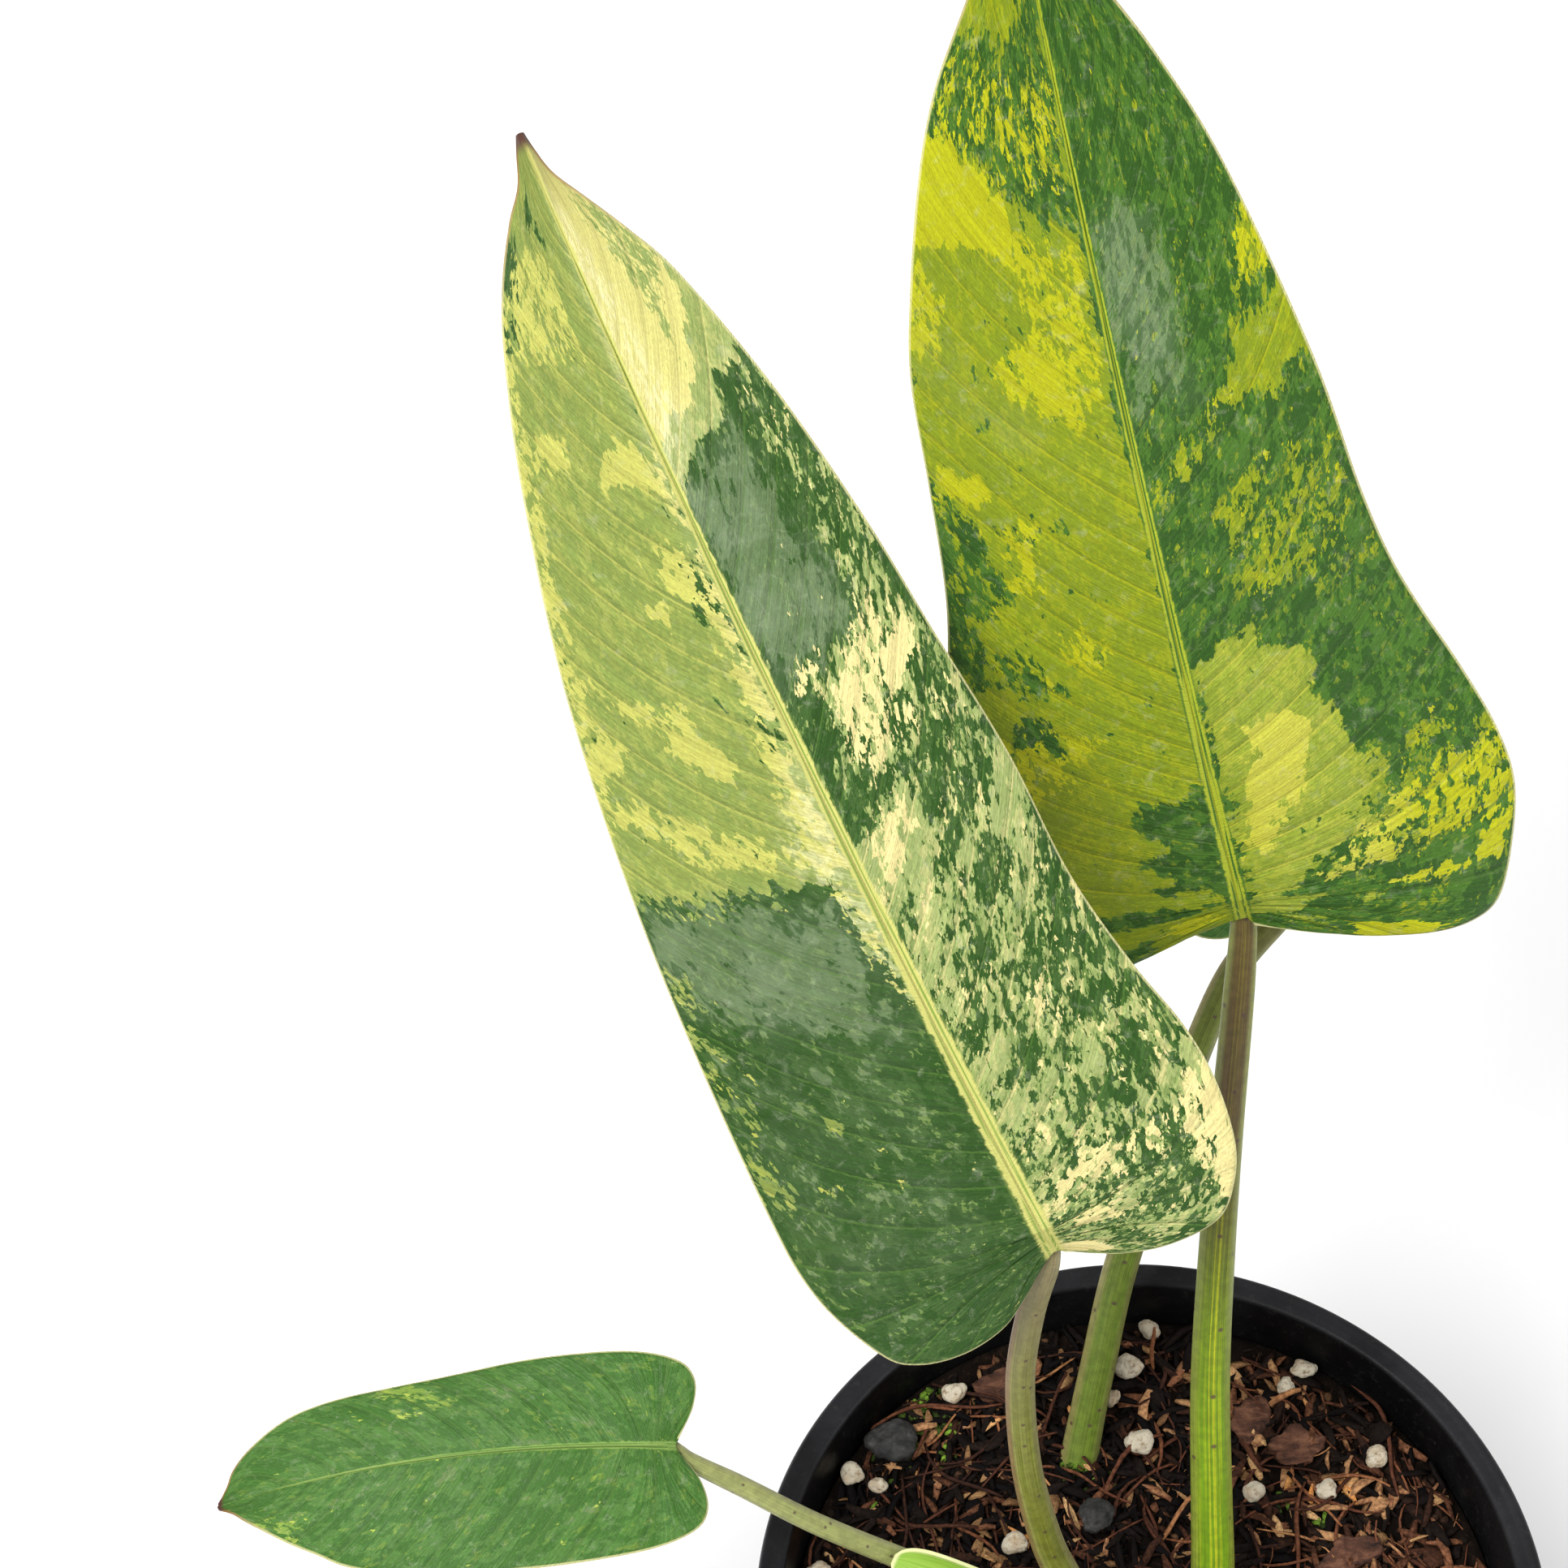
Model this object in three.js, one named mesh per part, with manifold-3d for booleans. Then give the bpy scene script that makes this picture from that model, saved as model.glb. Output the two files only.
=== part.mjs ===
// Potted philodendron: a creeping stem with four variegated leaves in a black nursery pot.
// Millimetres, +Z up. The origin is the centre of the pot's flat underside.
import * as THREE from 'three';
import * as BufferGeometryUtils from 'three/addons/utils/BufferGeometryUtils.js';
import Module from 'manifold-3d';

const wasm = await Module();
wasm.setup();

// Pot
const POT_HEIGHT = 155;
const RIM_RADIUS = 100;
const BASE_RADIUS = 77;
const BASE_BEVEL_WIDTH = 3;
const BASE_BEVEL_HEIGHT = 2;
const WALL = 1.8;
const FLOOR = 3;
const RIM_OVERHANG = 6.2;
const RIM_DEPTH = 3.2;
const SKIRT_DROP = 13;
const SKIRT_GAP = 2.6;
const SKIRT_LEAN = 1.5;
const SKIRT_THICKNESS = 1.7;
// Rolled rim: steps out from the rim's radius and up from its top
const RIM_ROLL = [[0, -2.4], [-0.7, -0.6], [-2.2, 0], [-4.6, -0.3], [-6.2, -1.8]];
const LIP_DEPTH = 6;
const POT_SIDES = 48;
const DRAIN_HOLES = 6;
const DRAIN_RADIUS = 6;
const DRAIN_RING = 52;
const DRAIN_SIDES = 12;

// Potting mix
const MIX_LEVEL = 138;
const MIX_SWELL = 1.6;
const SWELL_WIDTH = 17;
const SWELL_LENGTH = 14;
const CROSS_SWELL = 8.5;
const CROSS_SWELL_SHARE = 0.6;
const CALM_FROM = 0.8;
const CALM_AT = 0.92;
const MIX_DISH = 3;
const MIX_CLEARANCE = 0.5;
const MIX_RINGS = 9;
const MIX_SIDES = 40;

// Clearance that touching pieces keep, and what a cutter is grown by so that its flats keep it too
const GAP = 0.3;
const CUTTER_GROWTH = 0.45;

// Stem and roots
const STEM_RADIUS = 9.5;
const STEM_PATH = [[-16, 66, 121], [-12, 50, 122], [-5, 24, 125], [1, 2, 131], [4, -9, 139], [5, -13, 149]];
const STEM_TAPER = [0.7, 1, 1, 0.95, 0.4];
const STEM_SIDES = 12;
const STEM_STEPS = 20;
const STEM_NODES = 6;
const STEM_RIPPLE = 0.05;
const ROOT_RADIUS = 2.2;
const ROOT_TAPER = [1, 0.8, 0.5];
const ROOT_SIDES = 6;
const ROOT_STEPS = 7;
const ROOT_PATHS = [
  [[-14, 58, 118], [-22, 62, 95], [-30, 52, 66], [-24, 40, 38]],
  [[-8, 36, 119], [8, 44, 98], [24, 50, 70], [30, 40, 40]],
  [[-2, 18, 120], [-18, 12, 100], [-34, 4, 72], [-40, -8, 40]],
  [[3, 4, 124], [18, -2, 104], [34, -12, 76], [36, -28, 44]],
  [[7, -8, 130], [2, -24, 106], [-6, -36, 76], [-8, -44, 42]],
];

// Blades: where the blade leaves its stalk, where its tip is, which way its upper face looks,
// and its margin in its own plane: distance from the junction towards the tip, distance from
// the midrib. Left and right are as seen from the upper face with the tip up. The blade folds up
// from the midrib, bows along its length and waves at the margin, and its midrib sways sideways.
const BLADE_THICKNESS = 0.9;
const TIP_HALF_WIDTH = 0.7;
const MIDRIB_DEPTH = 3.2;
const MIDRIB_START = 10;
const MIDRIB_SOFTNESS = 4;
const VEIN_COLUMNS = [0, 0.12, 0.34, 0.56, 0.78, 1];
const BLADE_ROWS = 22;
const LOBE_SHARE = 0.2;
const LOBE_VEIN_SPREAD = 6;
const VEIN_SWEEP = 1.22;
const VEIN_OVERSHOOT = 0.3;
const VEIN_BEND_ALONG = 0.25;
const VEIN_BEND_OUT = 0.55;

const FRONT_BLADE = {
  name: 'blade_front', color: 0x6f9440,
  junction: [-33, 10, 313.5], tip: [-146.8, 157, 511.5], face: [0.106, -0.768, 0.631],
  left: [[-1.4, 2.5], [-8, 11], [-12, 18], [-13, 28], [-10, 38], [-3, 44.5], [18, 51.5], [45, 52.5],
    [107, 49.5], [161, 42.5], [204, 32.2], [231, 23.4], [245, 17.2], [256, 10.2], [262, 5.2], [268, 2.4]],
  right: [[-1, 2.5], [-7, 13], [-10, 24], [-9, 36], [-2, 42.5], [8, 46.5], [24, 48], [39, 46.5],
    [57, 42], [81, 38], [111, 37], [142, 33.5], [170, 30.5], [203, 25], [232, 17.5], [245, 11.8],
    [255, 6.4], [262, 2.6], [268, 1.2]],
  fold: 0.1, bow: 8, wave: 1.6, waves: 3.5, phase: 0.4, sway: -2.8,
};
const BACK_BLADE = {
  name: 'blade_back', color: 0x7da63a,
  junction: [13, 89.4, 329.4], tip: [-48.5, 158.7, 575.4], face: [-0.01, -0.963, 0.269],
  left: [[-1, 3], [-5, 14], [-9, 25], [-12, 38], [-8, 50], [5, 58], [25, 61], [45, 59], [70, 54],
    [92, 50], [111, 46.5], [140, 44], [166, 42], [185, 38], [209, 31], [226, 24], [242, 14]],
  right: [[-1.2, 2.4], [-4, 8], [-8, 19], [-11, 30], [-12, 43], [-9, 52], [-2, 58], [14, 62.5], [33, 65.5],
    [49, 63.5], [67, 58], [84, 52], [100, 47.5], [120, 44], [154, 39.5], [197, 29.5], [222, 21], [240, 13]],
  fold: 0.08, bow: 9, wave: 2.4, waves: 4, phase: 1.1, sway: -0.8,
};
const REAR_BLADE = {
  name: 'blade_rear', color: 0x4f8a3a,
  junction: [38.4, 151.9, 251.2], tip: [4, 348, 300], face: [0.1, -0.22, 1],
  left: [[-1, 2.5], [-6, 12], [-9, 22], [-6, 31], [6, 35.5], [24, 36.5], [60, 33], [100, 28],
    [140, 22], [172, 14], [192, 6]],
  right: [[-1, 2.5], [-6, 12], [-9, 22], [-6, 31], [6, 35.5], [24, 36.5], [60, 33.5], [100, 28.5],
    [140, 22], [172, 14], [192, 6]],
  fold: 0.16, bow: 22, wave: 2.2, waves: 3, phase: 2.0, sway: 2,
};
const LOW_BLADE = {
  name: 'blade_low', color: 0x3f7f3a,
  junction: [-119, 14.3, 213.5], tip: [-232, 10.5, 188.7], face: [-0.09, -0.32, 0.94],
  left: [[-1, 2.5], [-5, 9], [-6, 16], [-2, 21], [10, 24.5], [32, 26], [56, 25], [72, 22.5],
    [83, 19.3], [90, 15.6], [97, 12], [103, 8.3], [108, 5.2], [112, 2.4]],
  right: [[-1, 2], [-5, 9], [-6, 16], [-2, 21], [10, 24], [32, 24.5], [54, 23], [70, 22],
    [80, 21.3], [87, 20.3], [94, 18.7], [101, 15.6], [107, 11.8], [111, 8], [113, 4.4]],
  fold: 0.04, bow: 8, wave: 1, waves: 2.5, phase: 0.9, sway: 3.6,
};
const BLADES = [FRONT_BLADE, BACK_BLADE, REAR_BLADE, LOW_BLADE];

// Stalks, from the stem to just below the blade's junction
const STALKS = [
  { name: 'petiole_front', color: 0x8a9468, radii: [5.2, 4.1, 3.5], flat: 0.86,
    path: [[-5, -13, 148], [-16, -8, 164], [-25.1, -2.3, 181.6], [-30.3, -0.4, 200.5],
      [-35.5, 1.9, 229.8], [-38.2, 5.7, 262.6], [-36.9, 8.5, 289.8], [-34.1, 10.6, 306.8]] },
  { name: 'petiole_back', color: 0x7f9e3c, radii: [5.9, 4.8, 3.7], flat: 0.84,
    path: [[14.5, -7, 147], [14.5, 5.7, 165.1], [13.5, 15.8, 181.4], [11.7, 33.2, 212],
      [11.7, 50, 242.2], [12.3, 65.5, 272.6], [13.2, 79.8, 303.4], [13.6, 89.8, 323.2]] },
  { name: 'petiole_rear', color: 0x7d8f45, radii: [5.4, 4.9, 3.9], flat: 0.84,
    path: [[-15.8, 49, 133], [-13.9, 57, 142.2], [-10.8, 68, 155.4], [-5.3, 86, 175.5],
      [4.6, 107, 199.8], [13, 124, 218.8], [22.2, 138.5, 235.6], [34.6, 149.5, 244.6]] },
  { name: 'petiole_low', color: 0x8d9a5a, radii: [4.4, 2.9, 2.4], flat: 0.9,
    path: [[-2, -4, 133], [-12, -4.3, 141], [-24.7, -3.6, 152.4], [-45.5, -0.7, 167.8],
      [-64, 0.6, 180.9], [-85, 3.5, 194], [-103, 8.6, 203.6], [-115.2, 12.6, 208.6]] },
];
const STALK_SIDES = 10;
const STALK_STEPS = 16;
// Level direction that every stalk's section is squared to
const STALK_FRONT = [0, -0.6, 0.8];

// Open sheath that lies over the low leaf's stalk
const SHEATH = {
  from: 0.24, to: 0.6, clear: 0.5, thickness: 0.8, radius: 6.2, spread: 1.25, rise: 1.2,
  tipFrom: 0.74, tipWidth: 0.14, columns: 8, rows: 12,
};

// Loose grains on the mix: place, half sizes and turn
const PERLITE = [
  [0.6, 53.7, 3.4, 2.7, 0.2], [-1.5, 74.4, 3.6, 2.6, 0.7], [44.8, 74.4, 3.1, 2.0, 0.1],
  [40.1, 69.5, 2.2, 1.8, 1.2], [61.8, 48, 2.8, 2.1, 1.4], [29.4, 39.1, 2.6, 2.3, 0.5],
  [48.4, 39.1, 2.6, 2.4, 0.3], [-75, 43.5, 2.8, 2.5, 0.9], [-68.1, 40.2, 1.9, 1.8, 0.0],
  [-48.2, 66.9, 3.0, 2.2, 0.4], [4.6, 86.5, 2.2, 2.0, 0.2], [-6.4, 66.2, 2.3, 1.8, 1.0],
  [-33.3, 24.8, 2.7, 2.4, 0.8], [-84, 15, 3.4, 2.6, 0.3], [30, -46, 3.0, 2.4, 0.6],
  [-34, -52, 3.2, 2.2, 0.1], [62, -18, 2.6, 2.2, 0.9], [-62, -34, 2.8, 2.3, 1.3], [10, -74, 2.5, 2.1, 0.5],
];
const PEBBLES = [[-64, 52.5, 7.4, 5.2, 0.2], [-12.1, 31.7, 5.2, 4.6, 0.8], [50, -46, 5.6, 4.2, 0.4]];
const BARK = [
  [30.5, 61, 7.2, 5.0, 1.1], [41.5, 52.5, 6.8, 5.6, 0.3], [52.8, 21, 8.6, 4.6, 0.6], [-35, 70, 8.0, 4.6, 0.1],
  [27, 12, 6.4, 3.8, 0.9], [-26, -34, 8.4, 5.0, 0.5], [-50, -8, 7.0, 4.2, 1.2], [36, -68, 7.6, 4.4, 0.2],
];
const BARK_THICKNESS = 1.4;
const BARK_CORNERS = 9;
const BARK_JAG = 0.22;
const PERLITE_FLATNESS = 0.8;
const PEBBLE_FLATNESS = 0.62;
// Knobs on a grain: how far they stand out, how many there are, and their shift from grain to grain
const KNOBS = [[0.12, 5, 1], [0.1, 4, -2], [0.06, 6, 1]];
const REST_CLEARANCE = 0.65;
const REST_SAMPLES = 12;

function vector(list) {
  return new THREE.Vector3(...list);
}

function material(color, roughness) {
  return new THREE.MeshStandardMaterial({ color, roughness, metalness: 0 });
}

// Keeps only positions, merges shared corners, drops flattened triangles and turns faces outward.
function closed(geometry) {
  const bare = new THREE.BufferGeometry();
  bare.setAttribute('position', geometry.getAttribute('position').clone());
  if (geometry.index) bare.setIndex(geometry.index.clone());
  const merged = BufferGeometryUtils.mergeVertices(bare, 1e-3);
  const place = merged.getAttribute('position');
  const source = merged.index.array;
  const kept = [];
  for (let i = 0; i < source.length; i += 3) {
    const [a, b, c] = [source[i], source[i + 1], source[i + 2]];
    if (a !== b && b !== c && c !== a) kept.push(a, b, c);
  }
  let volume = 0;
  const [p, q, r] = [new THREE.Vector3(), new THREE.Vector3(), new THREE.Vector3()];
  for (let i = 0; i < kept.length; i += 3) {
    p.fromBufferAttribute(place, kept[i]);
    q.fromBufferAttribute(place, kept[i + 1]);
    r.fromBufferAttribute(place, kept[i + 2]);
    volume += p.dot(q.cross(r));
  }
  if (volume < 0) {
    for (let i = 0; i < kept.length; i += 3) [kept[i], kept[i + 1]] = [kept[i + 1], kept[i]];
  }
  merged.setIndex(kept);
  return merged;
}

function toSolid(geometry) {
  const shape = closed(geometry);
  return new wasm.Manifold(new wasm.Mesh({
    numProp: 3,
    vertProperties: Float32Array.from(shape.getAttribute('position').array),
    triVerts: Uint32Array.from(shape.index.array),
  }));
}

function toGeometry(solid) {
  const mesh = solid.getMesh();
  const geometry = new THREE.BufferGeometry();
  geometry.setAttribute('position', new THREE.BufferAttribute(Float32Array.from(mesh.vertProperties), 3));
  geometry.setIndex(Array.from(mesh.triVerts));
  return geometry;
}

function namedMesh(name, geometry, color, roughness) {
  geometry.computeVertexNormals();
  const mesh = new THREE.Mesh(geometry, material(color, roughness));
  mesh.name = name;
  return mesh;
}

// Turned shape about the Z axis from [radius, height] points
function turned(profile, sides) {
  const points = profile.map(([radius, height]) => new THREE.Vector2(radius, height));
  return new THREE.LatheGeometry(points, sides).rotateX(Math.PI / 2);
}

// The wall leans out from the base to the underside of the rim.
const WALL_TOP = POT_HEIGHT - RIM_DEPTH;
const WALL_TOP_RADIUS = RIM_RADIUS - RIM_OVERHANG;

function outerWallRadius(height) {
  const share = (height - BASE_BEVEL_HEIGHT) / (WALL_TOP - BASE_BEVEL_HEIGHT);
  return BASE_RADIUS + (WALL_TOP_RADIUS - BASE_RADIUS) * share;
}

function innerWallRadius(height) {
  return outerWallRadius(height) - WALL;
}

function makePot() {
  const skirtBottom = POT_HEIGHT - SKIRT_DROP;
  const skirtRadius = RIM_RADIUS - SKIRT_LEAN;
  const profile = [
    [0, 0], [BASE_RADIUS - BASE_BEVEL_WIDTH, 0], [BASE_RADIUS, BASE_BEVEL_HEIGHT],
    [outerWallRadius(skirtBottom), skirtBottom], [WALL_TOP_RADIUS, WALL_TOP],
    [WALL_TOP_RADIUS + SKIRT_GAP, WALL_TOP],
    [skirtRadius - SKIRT_THICKNESS, skirtBottom], [skirtRadius, skirtBottom],
    ...RIM_ROLL.map(([out, up]) => [RIM_RADIUS + out, POT_HEIGHT + up]),
    [innerWallRadius(POT_HEIGHT - LIP_DEPTH), POT_HEIGHT - LIP_DEPTH],
    [innerWallRadius(FLOOR), FLOOR], [0, FLOOR],
  ];
  let pot = toSolid(turned(profile, POT_SIDES));
  for (let i = 0; i < DRAIN_HOLES; i += 1) {
    const angle = (i + 0.5) * 2 * Math.PI / DRAIN_HOLES;
    const drill = new THREE.CylinderGeometry(DRAIN_RADIUS, DRAIN_RADIUS, FLOOR * 4, DRAIN_SIDES);
    drill.rotateX(Math.PI / 2);
    drill.translate(DRAIN_RING * Math.cos(angle), DRAIN_RING * Math.sin(angle), 0);
    pot = pot.subtract(toSolid(drill));
  }
  return toGeometry(pot);
}

// Height of the mix's uneven top: swells that calm down near the wall, where the mix rises
function mixTop(x, y) {
  const long = Math.sin(x / SWELL_WIDTH + 1.3) * Math.cos(y / SWELL_LENGTH);
  const cross = CROSS_SWELL_SHARE * Math.sin((x + y) / CROSS_SWELL);
  const reach = Math.hypot(x, y) / RIM_RADIUS;
  const calm = Math.min(1, (CALM_AT - reach) / (CALM_AT - CALM_FROM));
  return MIX_LEVEL + MIX_SWELL * (long + cross) * calm + MIX_DISH * reach ** 4;
}

function makeMixBlock() {
  const top = innerWallRadius(MIX_LEVEL) - MIX_CLEARANCE;
  const bottom = innerWallRadius(FLOOR) - MIX_CLEARANCE;
  const profile = [[0, FLOOR + GAP], [bottom, FLOOR + GAP], [top, MIX_LEVEL]];
  for (let ring = 1; ring <= MIX_RINGS; ring += 1) {
    profile.push([top * (1 - ring / MIX_RINGS), MIX_LEVEL]);
  }
  const block = turned(profile, MIX_SIDES);
  const place = block.getAttribute('position');
  for (let i = 0; i < place.count; i += 1) {
    if (place.getZ(i) > MIX_LEVEL - 1) place.setZ(i, mixTop(place.getX(i), place.getY(i)));
  }
  return block;
}

// A smooth path with its thickness: centre, direction, the two section axes and radius at a share
function stalkCourse(path, radii) {
  const curve = new THREE.CatmullRomCurve3(path.map(vector));
  const taper = new THREE.SplineCurve(radii.map((radius, i) => new THREE.Vector2(i, radius)));
  return (share) => {
    const ahead = curve.getTangentAt(share);
    const side = vector(STALK_FRONT).cross(ahead).normalize();
    const front = ahead.clone().cross(side);
    return { centre: curve.getPointAt(share), ahead, side, front, radius: taper.getPoint(share).y };
  };
}

// Round stalk along a smooth path: a cylinder whose rings are carried along the curve.
function bentStalk({ path, radii, flat = 1, sides = STALK_SIDES, steps = STALK_STEPS, grow = 0, ripple = 0 }) {
  const course = stalkCourse(path, radii);
  const stalk = new THREE.CylinderGeometry(1, 1, 1, sides, steps);
  const place = stalk.getAttribute('position');
  for (let i = 0; i < place.count; i += 1) {
    const share = THREE.MathUtils.clamp(place.getY(i) + 0.5, 0, 1);
    const { centre, ahead, side, front, radius } = course(share);
    const reach = radius * (1 + ripple * Math.cos(2 * Math.PI * STEM_NODES * share)) + grow;
    centre.addScaledVector(side, place.getX(i) * reach);
    centre.addScaledVector(front, place.getZ(i) * reach * flat);
    if (share === 0) centre.addScaledVector(ahead, -grow);
    if (share === 1) centre.addScaledVector(ahead, grow);
    place.setXYZ(i, centre.x, centre.y, centre.z);
  }
  return stalk;
}

function makeStemSolid(grow) {
  const stemRadii = STEM_TAPER.map((share) => STEM_RADIUS * share);
  const rootRadii = ROOT_TAPER.map((share) => ROOT_RADIUS * share);
  let stem = toSolid(bentStalk({
    path: STEM_PATH, radii: stemRadii, sides: STEM_SIDES, steps: STEM_STEPS, grow, ripple: STEM_RIPPLE,
  }));
  for (const path of ROOT_PATHS) {
    const root = bentStalk({ path, radii: rootRadii, sides: ROOT_SIDES, steps: ROOT_STEPS, grow });
    stem = stem.add(toSolid(root));
  }
  return stem;
}

// The blade's own directions: towards the tip, to the right, and out of the upper face
function bladeFrame(blade) {
  const along = vector(blade.tip).sub(vector(blade.junction));
  const length = along.length();
  along.normalize();
  const right = along.clone().cross(vector(blade.face)).normalize();
  const out = right.clone().cross(along);
  return { along, right, out, length };
}

function marginCurve(points, length) {
  const corners = points.map(([x, y]) => new THREE.Vector2(x, y));
  corners.push(new THREE.Vector2(length, TIP_HALF_WIDTH));
  return new THREE.SplineCurve(corners);
}

// Where the side vein that ends at share s of the margin leaves the midrib
function veinStart(share, length) {
  if (share < LOBE_SHARE) return LOBE_VEIN_SPREAD * share / LOBE_SHARE;
  const rest = ((share - LOBE_SHARE) / (1 - LOBE_SHARE)) ** VEIN_SWEEP;
  return LOBE_VEIN_SPREAD + (length + VEIN_OVERSHOOT - LOBE_VEIN_SPREAD) * rest;
}

// Lift of the blade out of its plane: it folds up from the midrib, bows and waves at the margin.
function bladeLift(blade, length, x, y, outwards) {
  const share = x / length;
  const bow = blade.bow * 4 * share * (1 - share);
  const fold = blade.fold * (Math.hypot(y, MIDRIB_SOFTNESS) - MIDRIB_SOFTNESS);
  const turn = Math.PI * blade.waves * share + blade.phase * Math.sign(y);
  return bow + fold + blade.wave * outwards ** 2 * Math.sin(turn);
}

function makeBlade(blade) {
  const { along, right, out, length } = bladeFrame(blade);
  const margins = { '-1': marginCurve(blade.left, length), 1: marginCurve(blade.right, length) };
  const columns = VEIN_COLUMNS.length - 1;
  const sheet = new THREE.BoxGeometry(2, 1, 1, 2 * columns, BLADE_ROWS, 1);
  const place = sheet.getAttribute('position');
  for (let i = 0; i < place.count; i += 1) {
    const hand = place.getX(i) < 0 ? -1 : 1;
    const outwards = VEIN_COLUMNS[Math.round(Math.abs(place.getX(i)) * columns)];
    const share = place.getY(i) + 0.5;
    const end = margins[hand].getPointAt(share);
    const start = veinStart(share, length);
    const bend = new THREE.Vector2(start + VEIN_BEND_ALONG * (end.x - start), VEIN_BEND_OUT * end.y);
    const u = 1 - outwards;
    const x = u * u * start + 2 * u * outwards * bend.x + outwards * outwards * end.x;
    const sway = blade.sway * 4 * (x / length) * (1 - x / length) * (1 - outwards * outwards);
    const y = hand * (2 * u * outwards * bend.y + outwards * outwards * end.y) + sway;
    const onRib = place.getZ(i) < 0 && outwards === 0;
    const rib = onRib ? MIDRIB_DEPTH * (1 - x / length) * Math.min(1, (x + 1) / MIDRIB_START) : 0;
    const lift = bladeLift(blade, length, x, y, outwards) + place.getZ(i) * BLADE_THICKNESS - Math.max(0, rib);
    const point = vector(blade.junction).addScaledVector(along, x);
    point.addScaledVector(right, y).addScaledVector(out, lift);
    place.setXYZ(i, point.x, point.y, point.z);
  }
  return closed(sheet);
}

// Boat-shaped sheath, open upwards, that follows the low stalk and ends in a round tip
function makeSheath() {
  const low = STALKS.find((stalk) => stalk.name === 'petiole_low');
  const course = stalkCourse(low.path, low.radii);
  const sheet = new THREE.BoxGeometry(2, 1, 1, SHEATH.columns, SHEATH.rows, 1);
  const place = sheet.getAttribute('position');
  for (let i = 0; i < place.count; i += 1) {
    const share = place.getY(i) + 0.5;
    const reach = SHEATH.from + (SHEATH.to - SHEATH.from) * share;
    const { centre, side, front: up, radius } = course(reach);
    if (up.z < 0) up.negate();
    const tip = Math.max(0, (share - SHEATH.tipFrom) / (1 - SHEATH.tipFrom));
    const round = Math.max(SHEATH.tipWidth, Math.sqrt(1 - tip * tip));
    const angle = place.getX(i) * SHEATH.spread * round;
    const hull = SHEATH.radius + place.getZ(i) * -SHEATH.thickness;
    const clear = SHEATH.clear + SHEATH.thickness / 2 + SHEATH.rise * share;
    const lift = radius + clear + SHEATH.radius;
    centre.addScaledVector(side, hull * Math.sin(angle));
    centre.addScaledVector(up, lift - hull * Math.cos(angle));
    place.setXYZ(i, centre.x, centre.y, centre.z);
  }
  return closed(sheet);
}

// Knobbly grain: a sphere with few faces whose corners are pushed in and out
function makeGrain([x, y, long, wide, turn], flatness, seed) {
  const grain = new THREE.IcosahedronGeometry(1, 1);
  const place = grain.getAttribute('position');
  for (let i = 0; i < place.count; i += 1) {
    const [u, v, w] = [place.getX(i), place.getY(i), place.getZ(i)];
    const knob = KNOBS.reduce((sum, [height, count, shift], axis) => (
      sum + height * Math.sin(count * [u, v, w][axis] + shift * seed)
    ), 1);
    place.setXYZ(i, u * long * knob, v * wide * knob, w * wide * flatness * knob);
  }
  grain.rotateZ(turn);
  grain.computeBoundingBox();
  return grain.translate(x, y, restHeight(x, y, long) - grain.boundingBox.min.z);
}

// Lowest height at which a piece of this reach clears the uneven mix
function restHeight(x, y, reach) {
  let height = mixTop(x, y);
  for (let i = 0; i < REST_SAMPLES; i += 1) {
    const angle = i * 2 * Math.PI / REST_SAMPLES;
    height = Math.max(height, mixTop(x + reach * Math.cos(angle), y + reach * Math.sin(angle)));
  }
  return height + REST_CLEARANCE;
}

// Flat flake of bark with a jagged outline
function makeBark([x, y, long, wide, turn], seed) {
  const corners = [];
  for (let i = 0; i < BARK_CORNERS; i += 1) {
    const angle = i * 2 * Math.PI / BARK_CORNERS;
    const jag = 1 + BARK_JAG * Math.sin(3 * i + seed);
    corners.push(new THREE.Vector2(long * jag * Math.cos(angle), wide * jag * Math.sin(angle)));
  }
  const outline = new THREE.Shape(corners);
  const chip = new THREE.ExtrudeGeometry(outline, { depth: BARK_THICKNESS, bevelEnabled: false });
  return chip.rotateZ(turn).translate(x, y, restHeight(x, y, long));
}

function makePlant() {
  const plant = new THREE.Group();
  const stem = makeStemSolid(0);
  const stemClear = makeStemSolid(CUTTER_GROWTH);
  plant.add(namedMesh('stem_and_roots', toGeometry(stem), 0x6d7a3f, 0.7));
  for (const stalk of STALKS) {
    const solid = toSolid(bentStalk(stalk)).subtract(stemClear);
    plant.add(namedMesh(stalk.name, toGeometry(solid), stalk.color, 0.5));
  }
  for (const blade of BLADES) plant.add(namedMesh(blade.name, makeBlade(blade), blade.color, 0.45));
  plant.add(namedMesh('petiole_sheath', makeSheath(), 0x8fc02e, 0.45));
  return plant;
}

function makeMix() {
  let mix = toSolid(makeMixBlock()).subtract(makeStemSolid(CUTTER_GROWTH));
  for (const stalk of STALKS) mix = mix.subtract(toSolid(bentStalk({ ...stalk, grow: CUTTER_GROWTH })));
  return toGeometry(mix);
}

function makeGrains() {
  const grains = new THREE.Group();
  PERLITE.forEach((grain, i) => {
    const shape = closed(makeGrain(grain, PERLITE_FLATNESS, i));
    grains.add(namedMesh(`perlite_${i + 1}`, shape, 0xe4dfd0, 0.9));
  });
  PEBBLES.forEach((grain, i) => {
    const shape = closed(makeGrain(grain, PEBBLE_FLATNESS, i + 0.5));
    grains.add(namedMesh(`pebble_${i + 1}`, shape, 0x2b2a2a, 0.85));
  });
  BARK.forEach((chip, i) => {
    grains.add(namedMesh(`bark_chip_${i + 1}`, closed(makeBark(chip, i)), 0x6b4030, 0.9));
  });
  return grains;
}

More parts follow.
